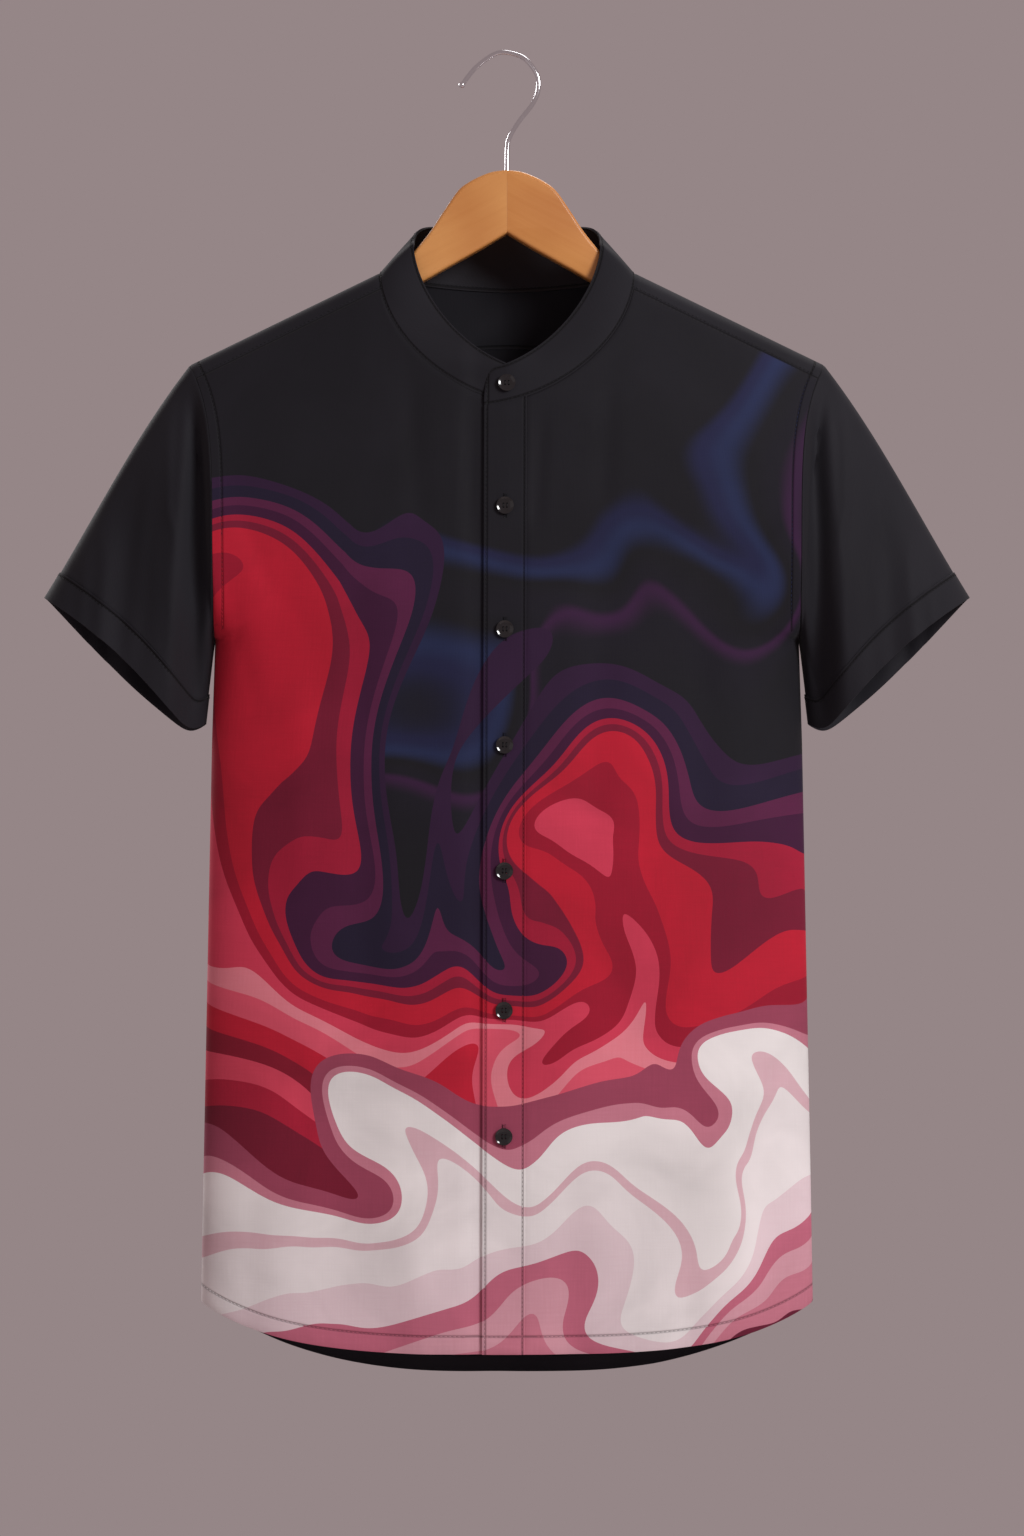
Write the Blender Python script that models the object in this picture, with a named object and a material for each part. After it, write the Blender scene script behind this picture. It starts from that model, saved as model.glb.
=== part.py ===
"""Short sleeved mandarin collar shirt on a wooden hanger with a steel hook.

The wearer faces -Y, +Z is up and +X is the wearer's left.  The origin is the inner
top of the hook, where a rail carries the hanger.  Sizes are written in millimetres
and turned into metres where a mesh is made.

The cloth is built from two surfaces, front and back, that hang from one shoulder
ridge.  Every panel is a grid of points on them, walled to the inside.
"""
import math
from typing import NamedTuple

import bmesh
import bpy
from mathutils import Matrix, Vector

METRES_PER_MM = 0.001

# Cloth walls and seams
CLOTH_WALL = 1.2
BAND_WALL = 1.4
COLLAR_WALL = 1.6
SEAM_GAP = 0.3
LAP_DIP = 2.1
RIM_INSET = 0.9
MERGE_DISTANCE = 0.001
SHARP_ANGLE = math.radians(40.0)

# Shoulders and neck
NECK_HALF_WIDTH = 86.7
NECK_POINT_Z = -148.5
SHOULDER_SLOPE = 0.486
SHOULDER_TIP_X = 215.5
RIDGE_RADIUS = 7.0
BEHIND_RIDGE = 1e-9
YOKE_FRONT_DROP = 12.5
YOKE_BACK_Z = -195.0
YOKE_BACK_FALL = 52.0
YOKE_BACK_POWER = 1.7
YOKE_NECK_POWER = 0.7

# Armholes
UNDERARM_Z = -397.0
ARMHOLE_FLARE = 18.0
ARMHOLE_FLARE_POWER = 6
COLUMN_FLARE_POWER = 10
SIDE_FADE_Z = -455.0
SEAM_HOLD_POWER = 12

# Body below the arms: height and half width
SIDE_SECTIONS = (
    # z, half_width
    (-300.0, 197.5),
    (-370.0, 197.5),
    (-466.0, 200.6),
    (-765.0, 206.5),
    (-860.0, 208.2),
)
HEM_HALF_WIDTH = 208.0
FRONT_HEM_Z = -878.2
FRONT_HEM_RISE = 31.2
FRONT_HEM_POWER = 3.8
BACK_HEM_Z = -901.0
BACK_HEM_RISE = 54.0
BACK_HEM_POWER = 2.95
SECTION_POWER = 2.2
HEM_TAPER = 0.22
TAPER_TOP_Z = -330.0
TAPER_BOTTOM_Z = -880.0

# Collar
COLLAR_FRONT_FALL = 70.9
COLLAR_CROSSING = 20.0
COLLAR_BACK_FALL = 7.3
COLLAR_BACK_POWER = 1.5
BAND_TOP_HALF_WIDTH = 63.5
BAND_TOP_Z = -127.0
BAND_TOP_FALL = 60.0
BAND_TOP_FALL_POWER = 1.05
BAND_TOP_CROSSING = 26.0
BAND_TOP_BACK_RISE = 14.0
BAND_TOP_BACK_POWER = 3.8
BAND_TOP_DEPTH = 36.0
BAND_TOP_FULLNESS = 0.6
BAND_SIDE_DEPTH = 16.0
BAND_SIDE_FULLNESS = 0.25
BAND_POINT_DEPTH = 28.0
BAND_POINT_ROUNDING = 0.14
BAND_BULGE = 1.5
TAB_ANGLE = -10.0
TAB_END_X = -14.6
TAB_CORNER = 8.0
TAB_STRAIGHT_SHARE = 0.62
UNDER_END_ANGLE = 368.0

# Placket
PLACKET_HALF_WIDTH = 14.35
PLACKET_TOP_X = -1.0
PLACKET_DRIFT = -1.4
PLACKET_PROUD = 0.4
UNDER_LAP = 11.75
LAP_START_X = -32.0
LAP_FULL_X = -17.6

# Sleeves
SLEEVE_TIP = (314.0, -369.5)
SLEEVE_INNER = (203.6, -453.0)
SLEEVE_HALF_DEPTH = 37.0
SLEEVE_EDGE_FALL = 15.5
SLEEVE_INNER_LIFT = 13.0
SLEEVE_LIFT_ANGLE = 20.0
SLEEVE_FRONT_BOW = -8.0
SLEEVE_BACK_BOW = 4.5
SLEEVE_BULGE = 5.0
SLEEVE_BULGE_WAY = (0.84, 0.0, 0.54)
SLEEVE_FOLD_FADE_Y = 20.0
SLEEVE_FOLD_FADE_SHARE = 0.1
CUFF_WIDTH = 20.0
CUFF_PROUD = 0.7

# Buttons: height of each on the front edge
BUTTON_HEIGHTS = (-226.9, -309.3, -391.9, -469.3, -553.5, -646.9, -731.6)
BUTTON_SIDES = 16
BUTTON_GAP = 0.4
BUTTON_TILT_REACH = 4.0
BUTTON_PROFILE = (
    # radius, height
    (4.6, 0.0),
    (5.8, 0.6),
    (6.0, 1.3),
    (5.6, 2.1),
    (4.9, 2.2),
    (4.0, 1.5),
)

# Hanger: half outline of the flat wooden bar
BAR_SECTIONS = (
    # x, top_z, bottom_z, half_thickness
    (0.0, -79.0, -121.7, 7.0),
    (9.0, -79.9, -127.2, 7.0),
    (17.0, -82.6, -132.0, 7.0),
    (26.0, -87.2, -137.1, 7.0),
    (33.5, -93.2, -141.3, 7.0),
    (43.5, -107.5, -146.9, 7.0),
    (52.0, -120.5, -151.8, 7.0),
    (62.0, -133.0, -157.5, 6.8),
    (74.0, -146.4, -165.4, 6.6),
    (88.0, -155.8, -174.0, 6.6),
    (104.0, -161.6, -183.0, 6.6),
    (130.0, -171.45, -195.6, 6.6),
    (160.0, -186.05, -210.4, 6.4),
    (185.0, -198.2, -221.6, 6.0),
    (199.0, -205.6, -226.8, 5.2),
    (206.0, -211.8, -226.0, 3.4),
)
BAR_RING = 14
BAR_ACROSS_POWER = 0.77
BAR_UP_POWER = 0.46
WIRE_RADIUS = 1.65
WIRE_SIDES = 8
HOOK_POINTS = (
    # x, z of the wire's centre line
    (-30.6, -20.4),
    (-25.6, -13.6),
    (-19.9, -7.4),
    (-9.5, 0.0),
    (-0.8, 1.65),
    (11.4, -2.2),
    (20.0, -12.6),
    (21.4, -23.0),
    (17.4, -33.3),
    (7.9, -45.6),
    (1.8, -56.0),
    (0.3, -64.0),
    (0.0, -78.6),
)
HOOK_TIP_RADIUS = 2.3
HOOK_TIP_RINGS = 4
HOOK_STEPS = 3

# Finishes: linear colours and roughness
BLACK = (0.018, 0.017, 0.022)
PRINT_RED = (0.42, 0.03, 0.06)
RESIN_BLACK = (0.01, 0.01, 0.01)
WOOD_BROWN = (0.56, 0.25, 0.08)
STEEL_GREY = (0.6, 0.6, 0.62)
CLOTH_ROUGHNESS = 0.85
RESIN_ROUGHNESS = 0.3
LACQUER_ROUGHNESS = 0.4
STEEL_ROUGHNESS = 0.2

# A point inside the body, which every panel looks away from
BODY_CORE = Vector((0.0, 0.0, -420.0))

# Mesh density
COLUMN_CROWDING = 0.6
NECK_COLUMNS = 9
SHOULDER_COLUMNS = 11
ARMHOLE_ROWS = 8
SIDE_ROWS = 14
SLEEVE_ROWS = 9
YOKE_FRONT_SHARES = (1.0, 0.6, 0.25, 0.06, 0.0)
YOKE_BACK_SHARES = (0.0, 0.012, 0.06, 0.2, 0.42, 0.7, 1.0)
CUFF_ROWS = 2
TAB_COLUMNS = 5
COLLAR_COLUMNS = 61
COLLAR_ROWS = 4
PLACKET_COLUMNS = 4
PLACKET_ROWS = 28


class ClothFace(NamedTuple):
    """One side of the hanging garment: how deep it stands below the ridge."""

    sign: float
    fullness: float
    reach: float


FRONT = ClothFace(sign=-1.0, fullness=45.0, reach=74.0)
BACK = ClothFace(sign=1.0, fullness=48.0, reach=40.0)


class Fold(NamedTuple):
    """A soft crease from one point to another, in millimetres on one face."""

    top_x: float
    top_z: float
    bottom_x: float
    bottom_z: float
    width: float
    depth: float


FRONT_FOLDS = (
    Fold(-178.0, -275.0, -120.0, -470.0, 24.0, 3.2),
    Fold(176.0, -270.0, 112.0, -455.0, 22.0, 2.8),
    Fold(-70.0, -300.0, -52.0, -640.0, 30.0, 2.4),
    Fold(84.0, -520.0, 92.0, -930.0, 36.0, 3.6),
    Fold(-104.0, -560.0, -118.0, -940.0, 34.0, 3.4),
    Fold(150.0, -640.0, 166.0, -940.0, 20.0, -2.4),
)
BACK_FOLDS = (
    Fold(-166.0, -285.0, -104.0, -500.0, 26.0, 4.0),
    Fold(172.0, -280.0, 118.0, -520.0, 24.0, 3.4),
    Fold(-40.0, -330.0, -58.0, -950.0, 34.0, 4.6),
    Fold(62.0, -420.0, 70.0, -950.0, 30.0, 3.8),
    Fold(136.0, -600.0, 146.0, -950.0, 24.0, -2.6),
)
# On the sleeves, x counts out from the centre line on either side
SLEEVE_FOLDS = (
    Fold(201.5, -140.0, 214.0, -475.0, 9.0, 13.0),
    Fold(246.0, -250.0, 262.0, -480.0, 18.0, -6.0),
    Fold(272.0, -300.0, 282.0, -470.0, 12.0, 2.4),
)


def mix(start: float, end: float, share: float) -> float:
    """Value that lies the given share of the way from start to end."""
    return start + (end - start) * share


def smooth_step(low: float, high: float, value: float) -> float:
    """Soft 0 to 1 ramp of value between low and high."""
    share = min(max((value - low) / (high - low), 0.0), 1.0)
    return share * share * (3.0 - 2.0 * share)


def table_value(rows, key: float, column: int) -> float:
    """Read one column of a table by its first column, with straight runs between rows."""
    ordered = sorted(rows)
    if key <= ordered[0][0]:
        return ordered[0][column]
    for lower, upper in zip(ordered, ordered[1:]):
        if key <= upper[0]:
            return mix(lower[column], upper[column], (key - lower[0]) / (upper[0] - lower[0]))
    return ordered[-1][column]


def ridge_z(x: float) -> float:
    """Height of the shoulder ridge."""
    return NECK_POINT_Z - SHOULDER_SLOPE * (abs(x) - NECK_HALF_WIDTH)


ARMHOLE_TOP_Z = ridge_z(SHOULDER_TIP_X)
ARMHOLE_MID_Z = (ARMHOLE_TOP_Z + UNDERARM_Z) / 2.0
ARMHOLE_HALF_HEIGHT = (ARMHOLE_TOP_Z - UNDERARM_Z) / 2.0


def armhole_cosine(z: float) -> float:
    """1 at the shoulder tip, -1 at the underarm."""
    return min(max((z - ARMHOLE_MID_Z) / ARMHOLE_HALF_HEIGHT, -1.0), 1.0)


def side_flare(z: float) -> float:
    """How far the armhole seam stands out from the body's side at a height."""
    return ARMHOLE_FLARE * ((1.0 + armhole_cosine(z)) / 2.0) ** ARMHOLE_FLARE_POWER


def side_x(z: float) -> float:
    """Half width of the body at a height, without the armhole's flare."""
    return table_value(SIDE_SECTIONS, z, 1)


def edge_share(spread: float, z: float) -> float:
    """Share of the depth left towards the side: all beside the armhole, none at the side seam.

    At the seam it follows the armhole's round, and further in it fades more slowly.
    """
    cosine = armhole_cosine(z)
    seam = 1.0 if cosine >= 0.0 else math.sqrt(max(1.0 - cosine * cosine, 0.0))
    inside = smooth_step(SIDE_FADE_Z, ARMHOLE_MID_Z, z)
    return mix(inside, seam, spread ** SEAM_HOLD_POWER)


def tent_depth(drop: float, face: ClothFace) -> float:
    """Depth of the cloth at a drop below the ridge: a round ridge, then a slow opening."""
    turned = 1.0 - min(drop / RIDGE_RADIUS, 1.0)
    return (RIDGE_RADIUS * math.sqrt(1.0 - turned * turned)
            + face.fullness * (1.0 - math.exp(-drop / face.reach)))


def fold_depth(x: float, z: float, folds) -> float:
    """Sum of the creases at a point of a face."""
    total = 0.0
    for fold in folds:
        along = (z - fold.top_z) / (fold.bottom_z - fold.top_z)
        if 0.0 < along < 1.0:
            offset = x - mix(fold.top_x, fold.bottom_x, along)
            fade = smooth_step(0.0, 0.35, along) * smooth_step(1.0, 0.8, along)
            total += fold.depth * fade * math.exp(-(offset / fold.width) ** 2)
    return total


def body_point(x: float, z: float, face: ClothFace, dip: float = 0.0) -> Vector:
    """Point of the body's cloth over (x, z)."""
    drop = max(ridge_z(x) - z, 0.0)
    spread = min(abs(x) / (side_x(z) + side_flare(z)), 1.0)
    section = math.sqrt(max(1.0 - spread ** SECTION_POWER, 0.0))
    share = edge_share(spread, z)
    taper = 1.0 - HEM_TAPER * smooth_step(TAPER_TOP_Z, TAPER_BOTTOM_Z, z)
    depth = tent_depth(drop, face) * taper * (share + (1.0 - share) * section)
    folds = FRONT_FOLDS if face is FRONT else BACK_FOLDS
    depth -= fold_depth(x, z, folds) * section + dip
    return Vector((x, face.sign * depth, z))


def lap_dip(x: float) -> float:
    """How far the right front and the collar's under end lie below the lapping edge."""
    return LAP_DIP * smooth_step(LAP_START_X, LAP_FULL_X, x)


def neck_seam_z(angle: float) -> float:
    """Height of the collar seam: angle 0 at centre front, 90 at the shoulder, 180 behind."""
    turned = math.radians(angle)
    if angle <= 90.0:
        return (NECK_POINT_Z - COLLAR_FRONT_FALL * math.cos(turned)
                - COLLAR_CROSSING * (1.0 - math.sin(turned)))
    return NECK_POINT_Z - COLLAR_BACK_FALL * abs(math.cos(turned)) ** COLLAR_BACK_POWER


def neck_seam_xz(angle: float) -> tuple[float, float]:
    """Front view place of the collar seam on the side of +X."""
    return NECK_HALF_WIDTH * math.sin(math.radians(angle)), neck_seam_z(angle)


def neck_seam_drop(angle: float) -> float:
    """Drop of the collar seam below the ridge."""
    x, z = neck_seam_xz(angle)
    return ridge_z(x) - z


def solve(function, low: float, high: float) -> float:
    """Root of a falling function between two values, by halving."""
    for _ in range(50):
        middle = (low + high) / 2.0
        if function(middle) > 0.0:
            low = middle
        else:
            high = middle
    return (low + high) / 2.0


YOKE_NECK_ANGLE = solve(lambda angle: neck_seam_drop(angle) - YOKE_FRONT_DROP, 45.0, 90.0)


def yoke_back_z(x: float) -> float:
    """Height of the seam between the yoke and the back."""
    return YOKE_BACK_Z - YOKE_BACK_FALL * (abs(x) / SHOULDER_TIP_X) ** YOKE_BACK_POWER


def front_hem_z(x: float) -> float:
    """Curved front hem."""
    return FRONT_HEM_Z + FRONT_HEM_RISE * min(abs(x) / HEM_HALF_WIDTH, 1.0) ** FRONT_HEM_POWER


def back_hem_z(x: float) -> float:
    """Curved back hem, longer than the front."""
    return BACK_HEM_Z + BACK_HEM_RISE * min(abs(x) / HEM_HALF_WIDTH, 1.0) ** BACK_HEM_POWER


def armhole_z(angle: float) -> float:
    """Height of the armhole seam: angle 0 at the shoulder tip, 180 at the underarm."""
    return ARMHOLE_MID_Z + ARMHOLE_HALF_HEIGHT * math.cos(math.radians(angle))


def armhole_angle(top_line) -> float:
    """Angle at which the armhole seam meets a panel's top line."""
    def above(angle):
        z = armhole_z(angle)
        return z - top_line(side_x(z) + side_flare(z))
    return solve(above, 1.0, 90.0)


def front_yoke_z(x: float) -> float:
    """Height of the seam between the yoke and a front."""
    return ridge_z(x) - YOKE_FRONT_DROP


FRONT_CORNER_ANGLE = armhole_angle(front_yoke_z)
BACK_CORNER_ANGLE = armhole_angle(yoke_back_z)


def placket_x(z: float) -> float:
    """Centre of the placket, which drifts a little to the wearer's right on its way down."""
    share = (z - FRONT_HEM_Z) / (neck_seam_z(0.0) - FRONT_HEM_Z)
    return PLACKET_TOP_X + PLACKET_DRIFT * (1.0 - share)


def spread_x(spread: float, z: float) -> float:
    """X of a column that stands the given share of the way out to the side."""
    return spread * side_x(z) + side_flare(z) * spread ** COLUMN_FLARE_POWER


def column_spread(share: float, start: float = 0.0) -> float:
    """Spread of a column: closer together towards the side, where the cloth turns."""
    return mix(start, 1.0, mix(share, math.sin(math.pi / 2.0 * share), COLUMN_CROWDING))


def spread_at(x: float, z: float) -> float:
    """Share of the way out to the side at a point."""
    return solve(lambda spread: x - spread_x(spread, z), 0.0, 1.0)


def side_shares(corner_angle: float, hem_z: float) -> list[float]:
    """Row heights along a panel's side, as shares of its length, with a row at the underarm."""
    heights = []
    for row in range(ARMHOLE_ROWS + 1):
        heights.append(armhole_z(mix(corner_angle, 180.0, row / ARMHOLE_ROWS)))
    for row in range(1, SIDE_ROWS + 1):
        heights.append(mix(UNDERARM_Z, hem_z, row / SIDE_ROWS))
    return [(heights[0] - z) / (heights[0] - hem_z) for z in heights]


def make_material(name: str, colour: tuple, roughness: float, metallic: float = 0.0):
    """Principled material with one colour."""
    material = bpy.data.materials.new(name)
    material.use_nodes = True
    shader = material.node_tree.nodes["Principled BSDF"]
    shader.inputs["Base Color"].default_value = (*colour, 1.0)
    shader.inputs["Roughness"].default_value = roughness
    shader.inputs["Metallic"].default_value = metallic
    material.diffuse_color = (*colour, 1.0)
    return material


def add_object(name: str, mesh_data, material):
    """Turn a bmesh in millimetres into a named object in metres."""
    bmesh.ops.scale(mesh_data, vec=Vector((METRES_PER_MM,) * 3), verts=mesh_data.verts)
    mesh = bpy.data.meshes.new(name)
    mesh_data.to_mesh(mesh)
    mesh_data.free()
    mesh.materials.append(material)
    mesh.shade_smooth()
    mesh.set_sharp_from_angle(angle=SHARP_ANGLE)
    shape = bpy.data.objects.new(name, mesh)
    bpy.context.scene.collection.objects.link(shape)
    return shape


def grid_faces(rows: int, columns: int, first: int = 0) -> list[tuple]:
    """Quads of a grid whose points run along the rows."""
    faces = []
    for row in range(rows - 1):
        for column in range(columns - 1):
            corner = first + row * columns + column
            faces.append((corner, corner + 1, corner + columns + 1, corner + columns))
    return faces


def centre_of(points) -> Vector:
    """Mean of the points."""
    return sum(points, Vector()) / len(points)


def rim_step(vert) -> Vector:
    """Short step from a border point into its own piece, which keeps neighbours' rims apart."""
    inward = centre_of([face.calc_center_median() for face in vert.link_faces]) - vert.co
    before, after = [(edge.other_vert(vert).co - vert.co).normalized()
                     for edge in vert.link_edges if edge.is_boundary]
    along = (before - after).normalized()
    inward -= along * inward.dot(along)
    inward -= vert.normal * inward.dot(vert.normal)
    return inward.normalized() * RIM_INSET


def wall_solid(name: str, points, faces, wall: float, material):
    """Closed cloth wall: the given outer surface, an inner copy, and a rim that joins them.

    The faces run so that their normals point out of the garment.
    """
    mesh_data = bmesh.new()
    outer = [mesh_data.verts.new(point) for point in points]
    for face in faces:
        mesh_data.faces.new([outer[index] for index in face])
    bmesh.ops.remove_doubles(mesh_data, verts=mesh_data.verts, dist=MERGE_DISTANCE)
    mesh_data.normal_update()
    outer_faces = list(mesh_data.faces)
    inner = {}
    for vert in mesh_data.verts:
        inner[vert] = vert.co - vert.normal * wall
        if vert.is_boundary:
            inner[vert] += rim_step(vert)
    copies = {vert: mesh_data.verts.new(place) for vert, place in inner.items()}
    for edge in [edge for edge in mesh_data.edges if edge.is_boundary]:
        loop = edge.link_loops[0]
        start, end = loop.vert, loop.link_loop_next.vert
        mesh_data.faces.new((end, start, copies[start], copies[end]))
    for face in outer_faces:
        mesh_data.faces.new([copies[vert] for vert in reversed(face.verts)])
    mesh_data.normal_update()
    return add_object(name, mesh_data, material)


def mirrored(points) -> list:
    """The same points on the other side of the garment."""
    return [Vector((-point.x, point.y, point.z)) for point in points]


def turned_outward(points, faces, core) -> list:
    """Faces wound so that they look away from a point inside the garment."""
    outlook = 0.0
    for face in faces:
        corners = [points[index] for index in face]
        normal = (corners[2] - corners[0]).cross(corners[3] - corners[1])
        outlook += normal.dot((corners[0] + corners[2]) / 2.0 - core)
    return [tuple(reversed(face)) for face in faces] if outlook < 0.0 else list(faces)


def front_columns(inner_x: float) -> list[tuple]:
    """Top point and spread of each column of a front, from its inner edge to its side."""
    first_angle = math.degrees(math.asin(inner_x / NECK_HALF_WIDTH))
    columns = []
    for index in range(NECK_COLUMNS + 1):
        angle = mix(first_angle, YOKE_NECK_ANGLE, index / NECK_COLUMNS)
        x, z = neck_seam_xz(angle)
        columns.append((x, z - SEAM_GAP))
    start = spread_at(*columns[-1])
    for index in range(1, SHOULDER_COLUMNS + 1):
        spread = column_spread(index / SHOULDER_COLUMNS, start)
        z = solve(lambda height: front_yoke_z(spread_x(spread, height)) - height, UNDERARM_Z, 0.0)
        columns.append((spread_x(spread, z), z - SEAM_GAP))
    return columns


def front_points(side: float) -> tuple[list, int, int]:
    """Outer points of a front: side +1 is the wearer's left, -1 the right."""
    left = side > 0.0
    inner_x = PLACKET_TOP_X + PLACKET_HALF_WIDTH + SEAM_GAP if left else UNDER_LAP
    columns = front_columns(inner_x if left else 0.0)
    if not left:
        columns = [(x, neck_seam_z(math.degrees(math.asin(x / NECK_HALF_WIDTH))) - SEAM_GAP)
                   for x in (-inner_x, -inner_x / 2.0)] + columns
    shares = side_shares(FRONT_CORNER_ANGLE, front_hem_z(HEM_HALF_WIDTH))
    count = len(columns)
    points = []
    for share in shares:
        for index, (top_x, top_z) in enumerate(columns):
            top_spread = math.copysign(spread_at(abs(top_x), top_z), top_x)
            even = column_spread(index / (count - 1), columns[0][0] / HEM_HALF_WIDTH)
            spread = mix(top_spread, even, smooth_step(0.0, 0.5, share))
            hem_x = even * HEM_HALF_WIDTH
            z = mix(top_z, front_hem_z(hem_x), share)
            x = spread_x(abs(spread), z) * (1.0 if spread >= 0.0 else -1.0)
            if index == 0:
                x = (placket_x(z) * side + (PLACKET_HALF_WIDTH + SEAM_GAP if left else 0.0)
                     + (0.0 if left else -inner_x))
            if index == count - 1:
                x -= SEAM_GAP / 2.0 if z > UNDERARM_Z else 0.0
            dip = 0.0 if left else lap_dip(-x)
            place = body_point(x * side, z, FRONT, dip)
            if index == count - 1 and z <= UNDERARM_Z:
                place.y = -SEAM_GAP / 2.0
            points.append(place)
    return points, len(shares), count


def build_front(name: str, side: float, material):
    """One front panel, from the neck and the yoke seam to the hem."""
    points, rows, columns = front_points(side)
    faces = turned_outward(points, grid_faces(rows, columns), BODY_CORE)
    return wall_solid(name, points, faces, CLOTH_WALL, material)


def build_placket(material):
    """The buttonhole band down the front edge, on top of the right front."""
    points = []
    for row in range(PLACKET_ROWS + 1):
        for column in range(PLACKET_COLUMNS + 1):
            across = mix(-PLACKET_HALF_WIDTH, PLACKET_HALF_WIDTH, column / PLACKET_COLUMNS)
            top_x = PLACKET_TOP_X + across
            top_z = neck_seam_z(math.degrees(math.asin(top_x / NECK_HALF_WIDTH))) - SEAM_GAP
            z = mix(top_z, front_hem_z(across), row / PLACKET_ROWS)
            points.append(body_point(placket_x(z) + across, z, FRONT, -PLACKET_PROUD))
    faces = turned_outward(points, grid_faces(PLACKET_ROWS + 1, PLACKET_COLUMNS + 1), BODY_CORE)
    return wall_solid("placket", points, faces, BAND_WALL, material)


def ridge_point(x: float, drop: float) -> Vector:
    """Point near the shoulder ridge: a negative drop is in front of it, a positive one behind."""
    face = FRONT if drop < 0.0 else BACK
    return body_point(x, ridge_z(x) - abs(drop), face)


def yoke_x(ridge_x: float, edge_x: float) -> float:
    """X of a yoke column in a row whose armhole end stands at edge_x."""
    return ridge_x - (SHOULDER_TIP_X - edge_x) * (ridge_x / SHOULDER_TIP_X) ** COLUMN_FLARE_POWER


def shoulder_xs() -> list[float]:
    """X of the yoke's columns along the ridge, from the neck to the shoulder tip."""
    return [mix(NECK_HALF_WIDTH, SHOULDER_TIP_X, index / SHOULDER_COLUMNS)
            for index in range(SHOULDER_COLUMNS + 1)]


def yoke_strip(side: float) -> tuple[list, int, int]:
    """Front strip of the yoke on one side, between the front seam and the ridge."""
    columns = shoulder_xs()
    points = []
    for share in YOKE_FRONT_SHARES:
        end_angle = FRONT_CORNER_ANGLE * math.sqrt(share)
        edge_x = armhole_x(end_angle) - SEAM_GAP / 2.0
        for index, ridge_x in enumerate(columns):
            drop = (YOKE_FRONT_DROP - SEAM_GAP) * share
            x = yoke_x(ridge_x, edge_x)
            if index == 0:
                angle = solve(lambda value: neck_seam_drop(value) - drop, 60.0, 90.0)
                x = NECK_HALF_WIDTH * math.sin(math.radians(angle if share > 0.0 else 90.0))
            elif ridge_x == SHOULDER_TIP_X:
                x = edge_x
                drop = max(ridge_z(x) - armhole_z(end_angle) - SEAM_GAP * share, 0.0)
            points.append(ridge_point(x * side, -drop))
    return points, len(YOKE_FRONT_SHARES), len(columns)


def armhole_x(angle: float) -> float:
    """X of the armhole seam."""
    z = armhole_z(angle)
    return side_x(z) + side_flare(z)


def yoke_back_columns() -> list[float]:
    """X of the yoke's columns behind the ridge, from the centre out to the shoulder tip."""
    inner = [NECK_HALF_WIDTH * math.sin(math.pi / 2.0 * index / NECK_COLUMNS)
             for index in range(NECK_COLUMNS)]
    return inner + shoulder_xs()


def yoke_back_part(side: float) -> tuple[list, int, int]:
    """Back part of the yoke on one side, from the ridge or the neck to the back seam."""
    columns = yoke_back_columns()
    points = []
    for share in YOKE_BACK_SHARES:
        end_angle = BACK_CORNER_ANGLE * math.sqrt(share)
        edge_x = armhole_x(end_angle) - SEAM_GAP / 2.0
        for ridge_x in columns:
            start = 0.0
            if ridge_x < NECK_HALF_WIDTH - 0.01:
                angle = 180.0 - math.degrees(math.asin(ridge_x / NECK_HALF_WIDTH))
                start = neck_seam_drop(angle)
            x = yoke_x(ridge_x, edge_x)
            if ridge_x == SHOULDER_TIP_X:
                x = edge_x
                drop = max(ridge_z(x) - armhole_z(end_angle), 0.0)
            else:
                end = ridge_z(x) - yoke_back_z(x)
                if start > 0.0:
                    drop = mix(start, end, (share + share ** YOKE_NECK_POWER) / 2.0)
                else:
                    drop = end * share
            points.append(ridge_point(x * side, max(drop, BEHIND_RIDGE)))
    return points, len(YOKE_BACK_SHARES), len(columns)


def build_yoke(material):
    """One piece over both shoulders."""
    points = []
    faces = []
    for side in (1.0, -1.0):
        for part in (yoke_strip, yoke_back_part):
            places, rows, columns = part(side)
            quads = grid_faces(rows, columns, len(points))
            points += places
            faces += turned_outward(points, quads, BODY_CORE)
    return wall_solid("yoke", points, faces, CLOTH_WALL, material)


def build_back(material):
    """The back panel, from the yoke seam to the back hem."""
    shares = side_shares(BACK_CORNER_ANGLE, back_hem_z(HEM_HALF_WIDTH))
    half = NECK_COLUMNS + SHOULDER_COLUMNS
    points = []
    for share in shares:
        for index in range(-half, half + 1):
            side = -1.0 if index < 0 else 1.0
            spread = column_spread(abs(index) / half)
            top_z = solve(lambda height: yoke_back_z(spread_x(spread, height)) - height,
                          UNDERARM_Z, 0.0) - SEAM_GAP
            z = mix(top_z, back_hem_z(spread * HEM_HALF_WIDTH), share)
            x = spread_x(spread, z)
            if abs(index) == half:
                x -= SEAM_GAP / 2.0 if z > UNDERARM_Z else 0.0
            place = body_point(x * side, z, BACK)
            if abs(index) == half and z <= UNDERARM_Z:
                place.y = SEAM_GAP / 2.0
            points.append(place)
    faces = turned_outward(points, grid_faces(len(shares), 2 * half + 1), BODY_CORE)
    return wall_solid("back", points, faces, CLOTH_WALL, material)


def armhole_point(angle: float) -> Vector:
    """Point of the armhole seam on the side of +X: 0 to 180 in front, 180 to 360 behind."""
    face = FRONT if angle <= 180.0 else BACK
    turn = min(angle, 360.0 - angle)
    return body_point(armhole_x(turn), armhole_z(turn), face)


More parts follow.
